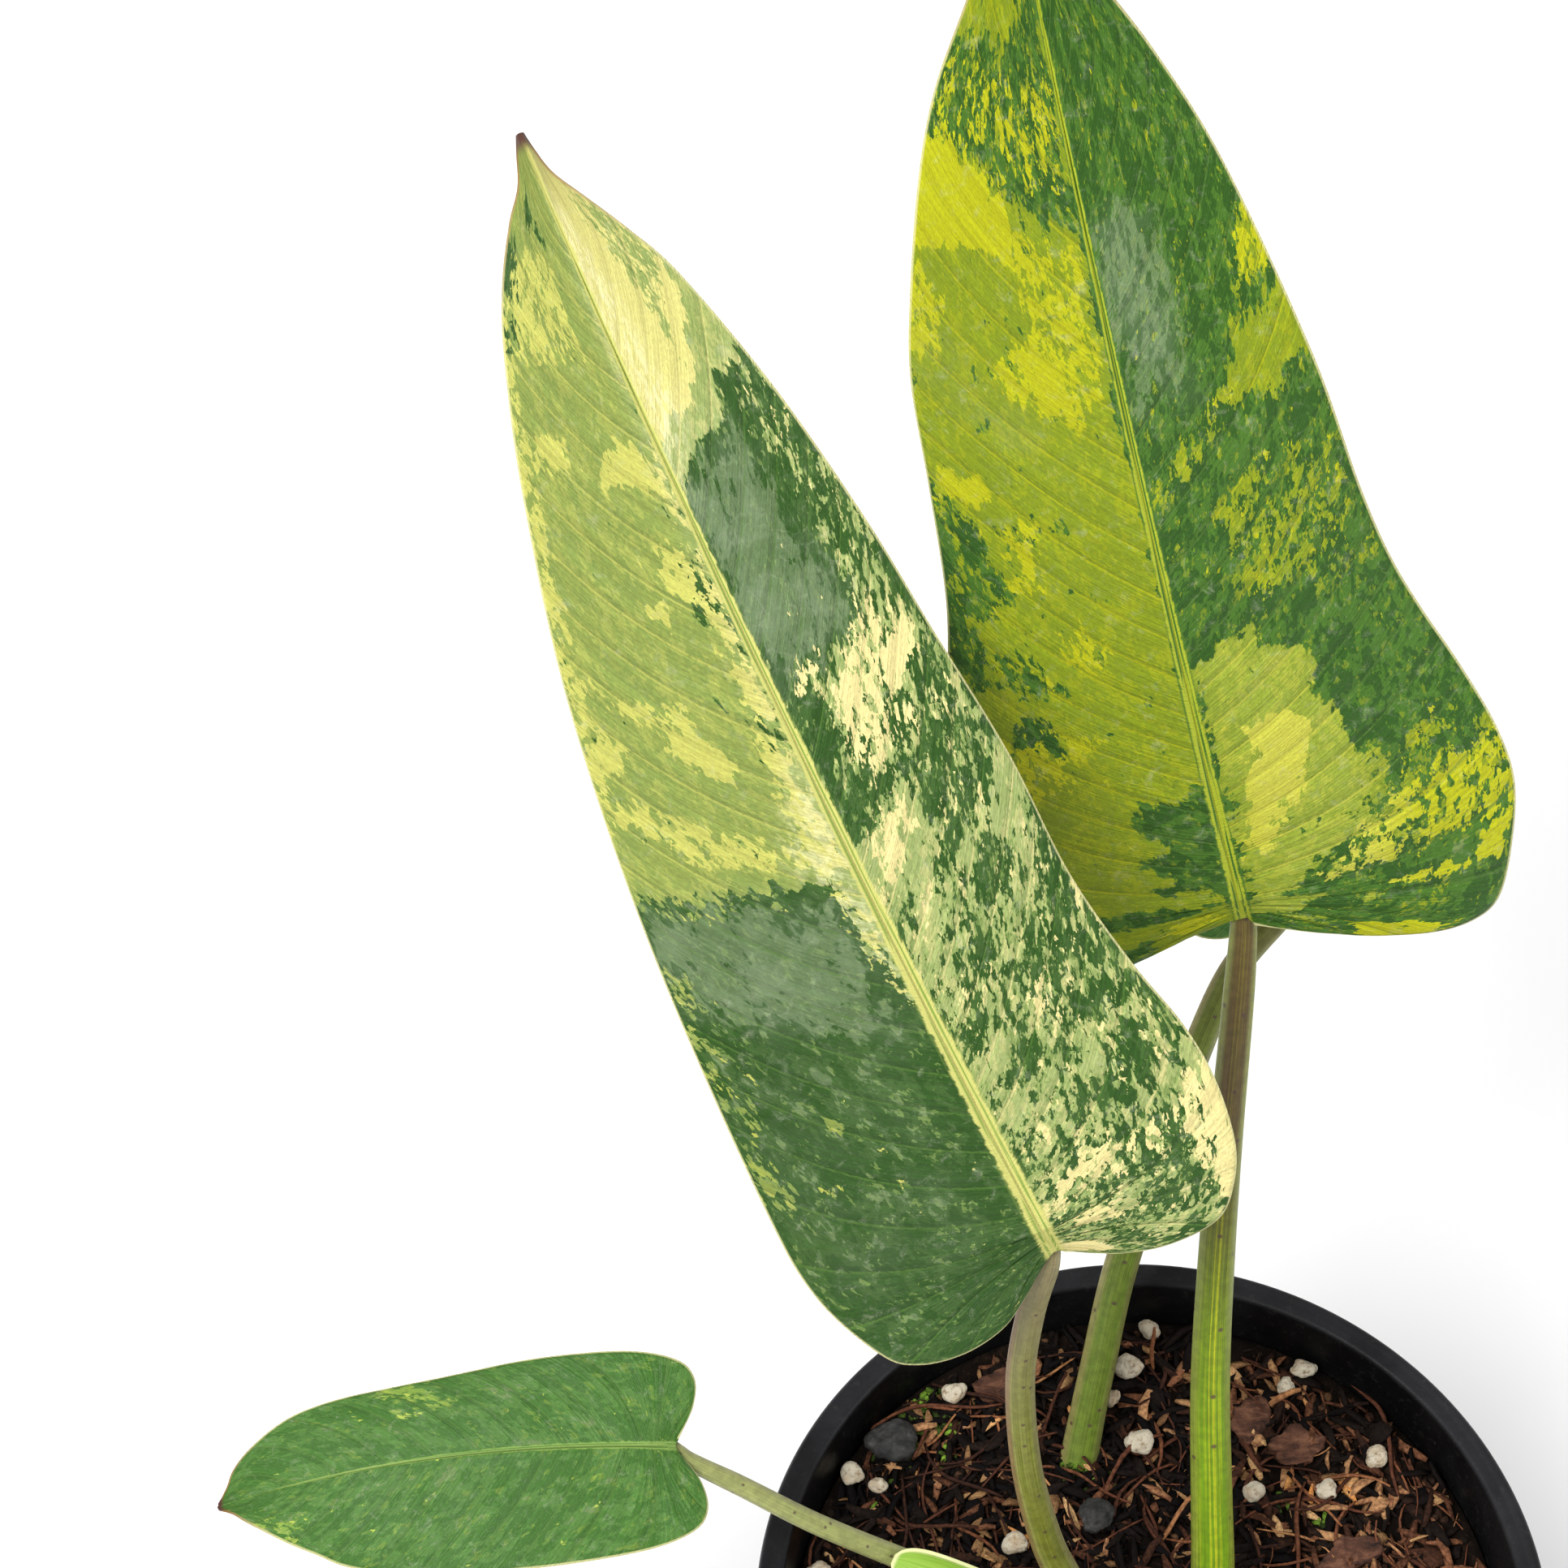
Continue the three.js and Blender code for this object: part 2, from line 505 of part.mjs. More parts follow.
const part = new THREE.Group();
part.add(namedMesh('nursery_pot', makePot(), 0x232323, 0.5));
part.add(namedMesh('potting_mix', makeMix(), 0x2a1b14, 1));
part.add(makePlant());
part.add(makeGrains());

export default part;
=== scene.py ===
# %% [markdown]
# A variegated philodendron in its nursery pot. The plant's solids come ready made, as a fixed
# frame at real size. This lesson puts the looks around them: finer leaves, stalks, pot and mix,
# and a finish for each. Each step tells first what the thing is, then how it is made.

# %% The fixed frame
import math

import bpy
import numpy as np
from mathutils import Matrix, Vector
from mathutils.bvhtree import BVHTree


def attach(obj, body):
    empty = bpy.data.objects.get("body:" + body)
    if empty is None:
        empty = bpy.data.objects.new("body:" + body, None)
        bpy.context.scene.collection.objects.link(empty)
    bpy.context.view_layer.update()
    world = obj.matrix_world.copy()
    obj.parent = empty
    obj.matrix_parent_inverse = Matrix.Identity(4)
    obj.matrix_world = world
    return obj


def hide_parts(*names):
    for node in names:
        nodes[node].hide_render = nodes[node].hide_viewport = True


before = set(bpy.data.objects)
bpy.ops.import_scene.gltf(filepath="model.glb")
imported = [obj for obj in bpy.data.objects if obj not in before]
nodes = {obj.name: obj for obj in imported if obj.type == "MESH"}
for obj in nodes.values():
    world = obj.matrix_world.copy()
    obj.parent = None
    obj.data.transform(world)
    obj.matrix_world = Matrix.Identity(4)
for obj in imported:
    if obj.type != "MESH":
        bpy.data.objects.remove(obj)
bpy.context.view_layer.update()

MM = 0.001


# %% [markdown]
# The picture is taken from above the front, looking down at about 53 degrees, from a metre away.
# A long lens keeps the pot's rim and the leaves in the photograph's proportions. The backdrop
# is one pale floor, which fills the frame. White light comes from all round, with a large soft
# lamp overhead at the left, so shadows stay faint.

# %% Camera, floor and light
CAMERA_PLACE = (-0.0928, -0.4480, 1.0951)
CAMERA_TILT = math.radians(36.94)
LENS = 93.17

camera_data = bpy.data.cameras.new("camera")
camera_data.lens = LENS
camera_data.sensor_width = 36
camera = bpy.data.objects.new("camera", camera_data)
camera.location = CAMERA_PLACE
camera.rotation_euler = (CAMERA_TILT, 0, 0)
bpy.context.scene.collection.objects.link(camera)
bpy.context.scene.camera = camera


def add_area_light(name, place, size, power, target):
    lamp = bpy.data.lights.new(name, "AREA")
    lamp.shape = "DISK"
    lamp.size = size
    lamp.energy = power
    holder = bpy.data.objects.new(name, lamp)
    holder.location = place
    holder.rotation_euler = (Vector(target) - Vector(place)).to_track_quat("-Z", "Y").to_euler()
    bpy.context.scene.collection.objects.link(holder)


add_area_light("overhead_lamp", (-0.9, -0.7, 1.9), 1.1, 46, (0, 0.05, 0.25))
add_area_light("side_lamp", (1.3, -0.3, 1.2), 0.9, 7, (0, 0.05, 0.25))

world = bpy.data.worlds.new("studio")
bpy.context.scene.world = world
world.use_nodes = True
world.node_tree.nodes["Background"].inputs["Color"].default_value = (1, 1, 1, 1)
world.node_tree.nodes["Background"].inputs["Strength"].default_value = 0.70
bpy.context.scene.view_settings.view_transform = "Standard"


def deselect():
    if bpy.context.object and bpy.context.object.mode != "OBJECT":
        bpy.ops.object.mode_set(mode="OBJECT")
    bpy.ops.object.select_all(action="DESELECT")


deselect()
bpy.ops.mesh.primitive_plane_add(size=30, location=(0, 0, 0))
floor = bpy.context.object
floor.name = "floor"
print("camera at", CAMERA_PLACE, "lens", LENS)

# %% [markdown]
# Materials are built from nodes. A few short helpers keep the wiring readable: one adds a node
# and sets its sockets, one makes a material with its Principled shader, one makes a node group.

# %% Helpers for nodes


def add_node(tree, kind, **sockets):
    node = tree.nodes.new(kind)
    for name, value in sockets.items():
        connect(tree, value, node.inputs[name.replace("_", " ")])
    return node


def connect(tree, value, socket):
    if isinstance(value, bpy.types.NodeSocket):
        tree.links.new(value, socket)
    else:
        socket.default_value = value


def maths(tree, operation, first, second=0.0, third=0.0):
    node = tree.nodes.new("ShaderNodeMath")
    node.operation = operation
    for value, socket in zip((first, second, third), node.inputs):
        connect(tree, value, socket)
    return node.outputs[0]


def times(tree, first, second):
    return maths(tree, "MULTIPLY", first, second)


def distance(tree, value, center):
    return maths(tree, "ABSOLUTE", maths(tree, "SUBTRACT", value, center))


def remap(tree, value, low, high, to_low=0.0, to_high=1.0):
    node = tree.nodes.new("ShaderNodeMapRange")
    node.interpolation_type = "SMOOTHSTEP"
    for item, name in ((value, "Value"), (low, "From Min"), (high, "From Max"),
                       (to_low, "To Min"), (to_high, "To Max")):
        connect(tree, item, node.inputs[name])
    return node.outputs["Result"]


def rgba(color):
    return (*color, 1)


def mix_colors(tree, share, first, second, blend="MIX"):
    node = tree.nodes.new("ShaderNodeMix")
    node.data_type = "RGBA"
    node.blend_type = blend
    for value, index in ((share, 0), (first, 6), (second, 7)):
        connect(tree, rgba(value) if isinstance(value, tuple) else value, node.inputs[index])
    return node.outputs[2]


def shaded(tree, color, share):
    """A colour times a grey value that varies over the surface."""
    grey = add_node(tree, "ShaderNodeCombineXYZ", X=share, Y=share, Z=share).outputs[0]
    return mix_colors(tree, 1.0, color, grey, "MULTIPLY")


def noise(tree, vector, scale, detail=3.0, roughness=0.55, distortion=0.0, dimensions="3D"):
    node = tree.nodes.new("ShaderNodeTexNoise")
    node.noise_dimensions = dimensions
    for value, name in ((vector, "Vector"), (scale, "Scale"), (detail, "Detail"),
                        (roughness, "Roughness"), (distortion, "Distortion")):
        connect(tree, value, node.inputs[name])
    return node.outputs["Fac"]


def stretched(tree, vector, scale):
    node = tree.nodes.new("ShaderNodeMapping")
    connect(tree, vector, node.inputs["Vector"])
    node.inputs["Scale"].default_value = scale
    return node.outputs["Vector"]


def flat_noise(tree, lanes, scale, detail, roughness, distortion=0.0):
    """Noise stretched over a leaf's own flat coordinates, which have no third direction."""
    return noise(tree, stretched(tree, lanes, scale), 1.0, detail, roughness, distortion, "2D")


def attribute(tree, name):
    node = tree.nodes.new("ShaderNodeAttribute")
    node.attribute_name = name
    return node.outputs["Fac"]


def object_place(tree):
    return tree.nodes.new("ShaderNodeTexCoord").outputs["Object"]


def ramp(tree, value, stops):
    node = tree.nodes.new("ShaderNodeValToRGB")
    connect(tree, value, node.inputs["Fac"])
    elements = node.color_ramp.elements
    while len(elements) < len(stops):
        elements.new(0.5)
    for element, (position, color) in zip(elements, stops):
        element.position = position
        element.color = rgba(color)
    return node.outputs["Color"]


def new_material(name, roughness=0.5, specular=0.5):
    material = bpy.data.materials.new(name)
    material.use_nodes = True
    shader = material.node_tree.nodes["Principled BSDF"]
    shader.inputs["Roughness"].default_value = roughness
    shader.inputs["Specular IOR Level"].default_value = specular
    return material, material.node_tree, shader


def bump(tree, shader, height, distance, strength=1.0):
    node = tree.nodes.new("ShaderNodeBump")
    node.inputs["Strength"].default_value = strength
    node.inputs["Distance"].default_value = distance
    connect(tree, height, node.inputs["Height"])
    tree.links.new(node.outputs["Normal"], shader.inputs["Normal"])


def new_group(name, inputs, outputs):
    tree = bpy.data.node_groups.new(name, "ShaderNodeTree")
    for label, kind, value in inputs:
        socket = tree.interface.new_socket(label, in_out="INPUT", socket_type=kind)
        if value is not None:
            socket.default_value = value
    for label, kind in outputs:
        tree.interface.new_socket(label, in_out="OUTPUT", socket_type=kind)
    return tree, tree.nodes.new("NodeGroupInput").outputs, tree.nodes.new("NodeGroupOutput").inputs


def use_group(tree, group, **sockets):
    node = tree.nodes.new("ShaderNodeGroup")
    node.node_tree = group
    for name, value in sockets.items():
        connect(tree, value, node.inputs[name.replace("_", " ")])
    return node.outputs


def dress(piece, material):
    piece.data.materials.clear()
    piece.data.materials.append(material)
    piece.data.polygons.foreach_set("use_smooth", [True] * len(piece.data.polygons))


floor_material, tree, shader = new_material("pale_floor", 0.9, 0.1)
grain = noise(tree, object_place(tree), 40.0)
color = mix_colors(tree, grain, (0.96, 0.96, 0.96), (0.98, 0.98, 0.98))
connect(tree, color, shader.inputs["Base Color"])
dress(floor, floor_material)

# %% [markdown]
# Pieces are shaped step by step: a primitive, then edit-mode steps, then modifiers that are
# applied. These helpers hold the steps that come back for every piece.

# %% Helpers for modelling
MERGE = 1e-6


def select_only(*pieces):
    """Selects these pieces and no others; the first one is active."""
    deselect()
    for piece in pieces:
        piece.select_set(True)
    bpy.context.view_layer.objects.active = pieces[0]


def edit(piece):
    """Goes into edit mode with the whole piece selected."""
    select_only(piece)
    bpy.ops.object.mode_set(mode="EDIT")
    bpy.ops.mesh.select_all(action="SELECT")


def finish_edit():
    bpy.ops.object.mode_set(mode="OBJECT")


def extrude_ring(rise, scale, height):
    """Extrudes the selected ring upwards, then scales it about the axis at its new height."""
    bpy.ops.mesh.extrude_region_move(TRANSFORM_OT_translate={"value": (0, 0, rise * MM)})
    bpy.ops.transform.resize(value=(scale, scale, 1), center_override=(0, 0, height * MM))


def close_ends():
    """Fills both open ends of a stack of rings and leaves edit mode."""
    bpy.ops.mesh.select_all(action="SELECT")
    bpy.ops.mesh.region_to_loop()
    bpy.ops.mesh.fill_holes(sides=0)
    finish_edit()


def named(name):
    piece = bpy.context.object
    piece.name = name
    piece.data.name = name
    return piece


def settle(piece):
    """Puts the piece's place into its mesh, so its object stays at the origin."""
    select_only(piece)
    bpy.ops.object.transform_apply(location=True, rotation=True, scale=True)
    return piece


def apply_modifier(piece, kind, **settings):
    modifier = piece.modifiers.new(kind.lower(), kind)
    for name, value in settings.items():
        setattr(modifier, name, value)
    select_only(piece)
    bpy.ops.object.modifier_apply(modifier=modifier.name)


def turn_faces_out(piece):
    edit(piece)
    bpy.ops.mesh.remove_doubles(threshold=MERGE)
    bpy.ops.mesh.normals_make_consistent(inside=False)
    finish_edit()


def places_of(piece):
    co = np.zeros(len(piece.data.vertices) * 3)
    piece.data.vertices.foreach_get("co", co)
    return co.reshape(-1, 3)


def set_places(piece, co):
    piece.data.vertices.foreach_set("co", np.asarray(co, float).ravel())
    piece.data.update()


def set_attribute(piece, name, values):
    layer = piece.data.attributes.new(name, "FLOAT", "POINT")
    layer.data.foreach_set("value", np.asarray(values, float))


def report(piece):
    co = places_of(piece) / MM
    size = co.max(0) - co.min(0)
    print(piece.name, "faces", len(piece.data.polygons), "size mm", [round(float(v), 1) for v in size])


# %% [markdown]
# The pot is moulded black plastic: a thin wall that leans out, a rolled rim with a short
# skirt, and holes in the floor. It could be cut from a solid, but there is a plainer way:
# a circle is extruded and scaled ring by ring, up the outside, over the rim, down the inside.

# %% Pot: rings from the base to the rim and back down
RIM_RADIUS = 100
BASE_RADIUS = 77
WALL = 1.8
FLOOR_THICKNESS = 3
WALL_TOP_HEIGHT = 151.8
WALL_TOP_RADIUS = 93.8
POT_SIDES = 192


def outer_wall(height):
    return BASE_RADIUS + (WALL_TOP_RADIUS - BASE_RADIUS) * (height - 2) / (WALL_TOP_HEIGHT - 2)


def inner_wall(height):
    return outer_wall(height) - WALL


def arc(center, radii, start, end, steps):
    """Points of an elliptic arc as [radius, height], angles in degrees from outward, anticlockwise."""
    angles = np.radians(np.linspace(start, end, steps))
    return [[center[0] + radii[0] * math.cos(a), center[1] + radii[1] * math.sin(a)] for a in angles]


pot_rings = [[74.0, 0.0], *arc((75.2, 1.8), (1.8, 1.8), -75, 10, 5)]
pot_rings += [[outer_wall(h), h] for h in (8, 30, 60, 90, 118, 134, 146)]
pot_rings += [[93.8, 151.0], [94.3, 151.8], [95.8, 151.8], [96.3, 151.0], [96.8, 146], [96.9, 142.6]]
pot_rings += arc((97.7, 142.7), (0.8, 0.7), 200, 350, 6)
pot_rings += [[98.9, 146], [99.5, 150], [99.9, 151.6]]
pot_rings += arc((98.2, 152.6), (1.8, 2.2), -15, 78, 7)
pot_rings += [[97.6, 154.75], [96.9, 154.35], [96.2, 154.3], [95.2, 154.45]]
pot_rings += arc((94.7, 152.9), (1.7, 1.6), 95, 165, 5)
pot_rings += [[92.7, 151.4], [92.1, 149.6], [inner_wall(147), 147]]
pot_rings += [[inner_wall(h), h] for h in (138, 110, 80, 50, 20, 6)]
pot_rings += [[inner_wall(4), 4], [74.0, 3.2], [72.5, FLOOR_THICKNESS], [60, FLOOR_THICKNESS]]

deselect()
bpy.ops.mesh.primitive_circle_add(vertices=POT_SIDES, radius=pot_rings[0][0] * MM)
pot = named("pot_moulded")
edit(pot)
for (radius, height), (next_radius, next_height) in zip(pot_rings, pot_rings[1:]):
    extrude_ring(next_height - height, next_radius / radius, next_height)
close_ends()
turn_faces_out(pot)
report(pot)

# %% Drain holes in the pot's floor
DRAIN_HOLES = 6
DRAIN_RADIUS = 6
DRAIN_RING = 52
DRILL_DEPTH = 12

deselect()
for index in range(DRAIN_HOLES):
    angle = (index + 0.5) * 2 * math.pi / DRAIN_HOLES
    spot = (DRAIN_RING * math.cos(angle) * MM, DRAIN_RING * math.sin(angle) * MM, 0)
    bpy.ops.mesh.primitive_cylinder_add(vertices=32, radius=DRAIN_RADIUS * MM, depth=DRILL_DEPTH * MM,
                                        location=spot)
    drill = bpy.context.object
    apply_modifier(pot, "BOOLEAN", operation="DIFFERENCE", object=drill, solver="EXACT")
    bpy.data.objects.remove(drill)
report(pot)

# %% [markdown]
# Black nursery plastic is almost black, with a satin skin and fine grain from the mould. The top of
# the rim is painted a little greyer, unevenly: a painted sheen where it catches the light. The inner
# wall carries dried splashes of mix. The dust is a mask that shifts the colour and the roughness
# together; the painted sheen shifts the colour only.

# %% Finish: moulded plastic with dust
group, group_in, group_out = new_group(
    "dust_smudges",
    [("Vector", "NodeSocketVector", None), ("Size", "NodeSocketFloat", 60.0),
     ("Amount", "NodeSocketFloat", 0.5)],
    [("Mask", "NodeSocketFloat")])
wide = noise(group, group_in["Vector"], group_in["Size"], 5.0, 0.6, 0.6)
fine = noise(group, group_in["Vector"], times(group, group_in["Size"], 7.0), 3.0, 0.7)
both = maths(group, "MULTIPLY_ADD", fine, 0.35, wide)
threshold = maths(group, "SUBTRACT", 1.0, times(group, group_in["Amount"], 0.5))
lower = maths(group, "SUBTRACT", threshold, 0.22)
connect(group, remap(group, both, lower, maths(group, "ADD", threshold, 0.12)), group_out["Mask"])
dust_smudges = group

plastic, tree, shader = new_material("black_nursery_plastic", 0.46, 0.14)
place = object_place(tree)
dust = use_group(tree, dust_smudges, Vector=place, Size=18.0, Amount=0.5)["Mask"]
speck = use_group(tree, dust_smudges, Vector=place, Size=520.0, Amount=0.12)["Mask"]
height = add_node(tree, "ShaderNodeSeparateXYZ", Vector=place).outputs["Z"]
# Painted sheen: the top of the rim is painted greyer where it catches the light, broken up by noise.
rim = remap(tree, height, 0.1528, 0.1545)
painted_rim_sheen = times(tree, rim, remap(tree, noise(tree, place, 55.0, 4.0), 0.35, 0.7, 0.35, 1.0))
base = mix_colors(tree, painted_rim_sheen, (0.0025, 0.0025, 0.0028), (0.017, 0.017, 0.0195))
base = mix_colors(tree, times(tree, dust, 0.05), base, (0.06, 0.058, 0.054))
base = mix_colors(tree, times(tree, speck, 0.16), base, (0.14, 0.13, 0.12))
connect(tree, base, shader.inputs["Base Color"])
connect(tree, maths(tree, "MULTIPLY_ADD", dust, 0.2, 0.36), shader.inputs["Roughness"])
grain = noise(tree, place, 900.0, 2.0, 0.6)
bump(tree, shader, maths(tree, "MULTIPLY_ADD", noise(tree, place, 120.0, 2.0), 0.5, grain), 0.00012, 0.55)
dress(pot, plastic)
select_only(pot)
bpy.ops.object.shade_smooth_by_angle(angle=math.radians(50))
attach(pot, "root")
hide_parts("nursery_pot")
print("pot finish:", plastic.name)

# %% [markdown]
# The potting mix fills the pot to 17 mm below the rim. It is a crumbly bed, and the bed alone
# would look like felt, so it is kept dark and rough and the loose litter is strewn on top of it later.
# A ring of vertices is extruded inward many times, which spreads the faces evenly, then pushed
# up and down by two Displace modifiers with clouds of different sizes.

# %% Mix: a rough bed
MIX_LEVEL = 138
MIX_BOTTOM = 3.3
MIX_CLEAR = 0.5
MIX_SIDES = 220
MIX_RINGS = 46
# Size and height of the clouds that push the bed up and down, in millimetres.
CLODS = ((12, 7.5), (4.2, 4.2))


def mix_top(x, y):
    """Height of the mix at a place, all in millimetres: soft swells, calmer near the wall."""
    swell = np.sin(x / 17 + 1.3) * np.cos(y / 14) + 0.6 * np.sin((x + y) / 8.5)
    reach = np.hypot(x, y) / RIM_RADIUS
    calm = np.minimum(1, (0.92 - reach) / 0.12)
    return MIX_LEVEL + 1.6 * swell * calm + 3 * reach ** 4


mix_radius = inner_wall(MIX_LEVEL) - MIX_CLEAR
bottom_radius = inner_wall(3) - MIX_CLEAR
deselect()
bpy.ops.mesh.primitive_circle_add(vertices=MIX_SIDES, radius=bottom_radius * MM,
                                  location=(0, 0, MIX_BOTTOM * MM))
mix_bed = settle(named("mix_bed"))
edit(mix_bed)
extrude_ring(MIX_LEVEL - MIX_BOTTOM, mix_radius / bottom_radius, MIX_LEVEL)
for ring in range(MIX_RINGS, 1, -1):
    extrude_ring(0, (ring - 1) / ring, MIX_LEVEL)
close_ends()
turn_faces_out(mix_bed)
co = places_of(mix_bed) / MM
on_top = co[:, 2] > MIX_LEVEL - 1
co[on_top, 2] = mix_top(co[on_top, 0], co[on_top, 1]) - 0.4
set_places(mix_bed, co * MM)
top_group = mix_bed.vertex_groups.new(name="top")
inside = np.hypot(co[:, 0], co[:, 1]) < mix_radius - 0.5
top_group.add([int(i) for i in np.flatnonzero(on_top & inside)], 1.0, "REPLACE")
for size, height in CLODS:
    clouds = bpy.data.textures.new("clods", "CLOUDS")
    clouds.noise_scale = size * MM
    clouds.noise_depth = 3
    apply_modifier(mix_bed, "DISPLACE", texture=clouds, strength=height * MM, mid_level=0.56,
                   direction="Z", vertex_group="top", texture_coords="LOCAL")
report(mix_bed)

# %% [markdown]
# Damp peat is nearly black. Fine noise picks out small brown crumbs, and a slower one leaves some
# places without any and nearly black: painted shade, so the gaps between the litter look deep.

# %% Finish: peat
peat, tree, shader = new_material("dark_mix", 0.92, 0.08)
place = object_place(tree)
crumbs = noise(tree, place, 420.0, 5.0, 0.7, 0.6)
clods = noise(tree, place, 90.0, 4.0, 0.6)
earth = ramp(tree, crumbs, [(0.34, (0.003, 0.002, 0.0015)), (0.55, (0.010, 0.006, 0.004)),
                            (0.7, (0.035, 0.018, 0.01))])
# Painted shade: the slower noise mixes the bed to near black in places, so the gaps look deep.
color = mix_colors(tree, remap(tree, clods, 0.4, 0.65), earth, (0.005, 0.003, 0.002))
connect(tree, color, shader.inputs["Base Color"])
bump(tree, shader, crumbs, 0.0012)
dress(mix_bed, peat)
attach(mix_bed, "root")
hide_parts("potting_mix")
print("mix finish:", peat.name)

# %% [markdown]
# Stalks are long tubes, flattened a little, that swell where they clasp the stem and taper to
# the leaf. Under the blade each one runs on as the midrib's keel. A circle extruded many times gives a
# straight tube; its rings are then carried along the stalk's course, which is a smooth curve
# through a few points, the same as in the frame.

# %% Stalks: courses and tubes
STALKS = {
    "front": {"flat": 0.86, "radii": [5.2, 4.1, 3.5], "path": [
        [-5, -13, 148], [-16, -8, 164], [-25.1, -2.3, 181.6], [-30.3, -0.4, 200.5],
        [-35.5, 1.9, 229.8], [-38.2, 5.7, 262.6], [-36.9, 8.5, 289.8], [-34.1, 10.6, 306.8]]},
    "back": {"flat": 0.84, "radii": [5.9, 4.8, 3.7], "path": [
        [14.5, -7, 147], [14.5, 5.7, 165.1], [13.5, 15.8, 181.4], [11.7, 33.2, 212],
        [11.7, 50, 242.2], [12.3, 65.5, 272.6], [13.2, 79.8, 303.4], [13.6, 89.8, 323.2]]},
    "rear": {"flat": 0.84, "radii": [5.4, 4.9, 3.9], "path": [
        [-15.8, 49, 133], [-13.9, 57, 142.2], [-10.8, 68, 155.4], [-5.3, 86, 175.5],
        [4.6, 107, 199.8], [13, 124, 218.8], [22.2, 138.5, 235.6], [34.6, 149.5, 244.6]]},
    "low": {"flat": 0.9, "radii": [4.4, 2.9, 2.4], "path": [
        [-2, -4, 133], [-12, -4.3, 141], [-24.7, -3.6, 152.4], [-45.5, -0.7, 167.8],
        [-64, 0.6, 180.9], [-85, 3.5, 194], [-103, 8.6, 203.6], [-115.2, 12.6, 208.6]]},
}
STALK_SIDES = 36
STALK_STEPS = 90


def smooth_curve(points, samples=3000):
    """A uniform Catmull-Rom curve through the points, read by its share of arc length."""
    points = np.array(points, float)
    count = len(points)

    def at(t):
        p = (count - 1) * np.clip(t, 0, 1)
        i = np.minimum(np.floor(p).astype(int), count - 2)
        w = (p - i)[:, None]
        before = points[np.maximum(i - 1, 0)]
        here = points[i]
        there = points[i + 1]
        after = points[np.minimum(i + 2, count - 1)]
        start_pull = (there - before) / 2
        end_pull = (after - here) / 2
        cubic = 2 * here - 2 * there + start_pull + end_pull
        square = -3 * here + 3 * there - 2 * start_pull - end_pull
        return cubic * w ** 3 + square * w ** 2 + start_pull * w + here

    knots = np.linspace(0, 1, samples)
    steps = np.linalg.norm(np.diff(at(knots), axis=0), axis=1)
    lengths = np.concatenate([[0], np.cumsum(steps)])
    total = lengths[-1]
    return (lambda share: at(np.interp(share, lengths / total, knots))), total


def tube(name, course, radii, flat, sides, steps):
    """A closed tube along a course; radii is a function of the share of its length."""
    deselect()
    bpy.ops.mesh.primitive_circle_add(vertices=sides, radius=MM)
    piece = named(name)
    edit(piece)
    for _ in range(steps):
        bpy.ops.mesh.extrude_region_move(TRANSFORM_OT_translate={"value": (0, 0, MM)})
    close_ends()
    co = places_of(piece) / MM
    share = np.clip(co[:, 2] / steps, 0, 1)
    center = course(share)
    ahead = course(np.minimum(share + 1e-3, 1)) - course(np.maximum(share - 1e-3, 0))
    ahead /= np.linalg.norm(ahead, axis=1)[:, None]
    side = np.cross(np.array([0, -0.6, 0.8]), ahead)
    side /= np.linalg.norm(side, axis=1)[:, None]
    front = np.cross(ahead, side)
    angle = np.arctan2(co[:, 0], co[:, 1])
    radius = radii(share, angle)[:, None]
    place = center + side * radius * np.sin(angle)[:, None]
    place = place + front * radius * flat * np.cos(angle)[:, None]
    set_places(piece, place * MM)
    turn_faces_out(piece)
    return piece, share, angle


print("stalk lengths mm", {name: round(smooth_curve(s["path"])[1]) for name, s in STALKS.items()})

# %% [markdown]
# A blade is built on its veins. Each side vein leaves the midrib, bends outward and ends on the
# margin, so a grid whose columns run along the midrib and whose rows are veins fits the leaf,
# and everything that follows the veins (streaks, folds, colour patches) can be read off the grid's own
# two numbers: how far out along a vein a point is, and which vein it is on. The margin
# comes as a few points for each side, from the base to the tip.

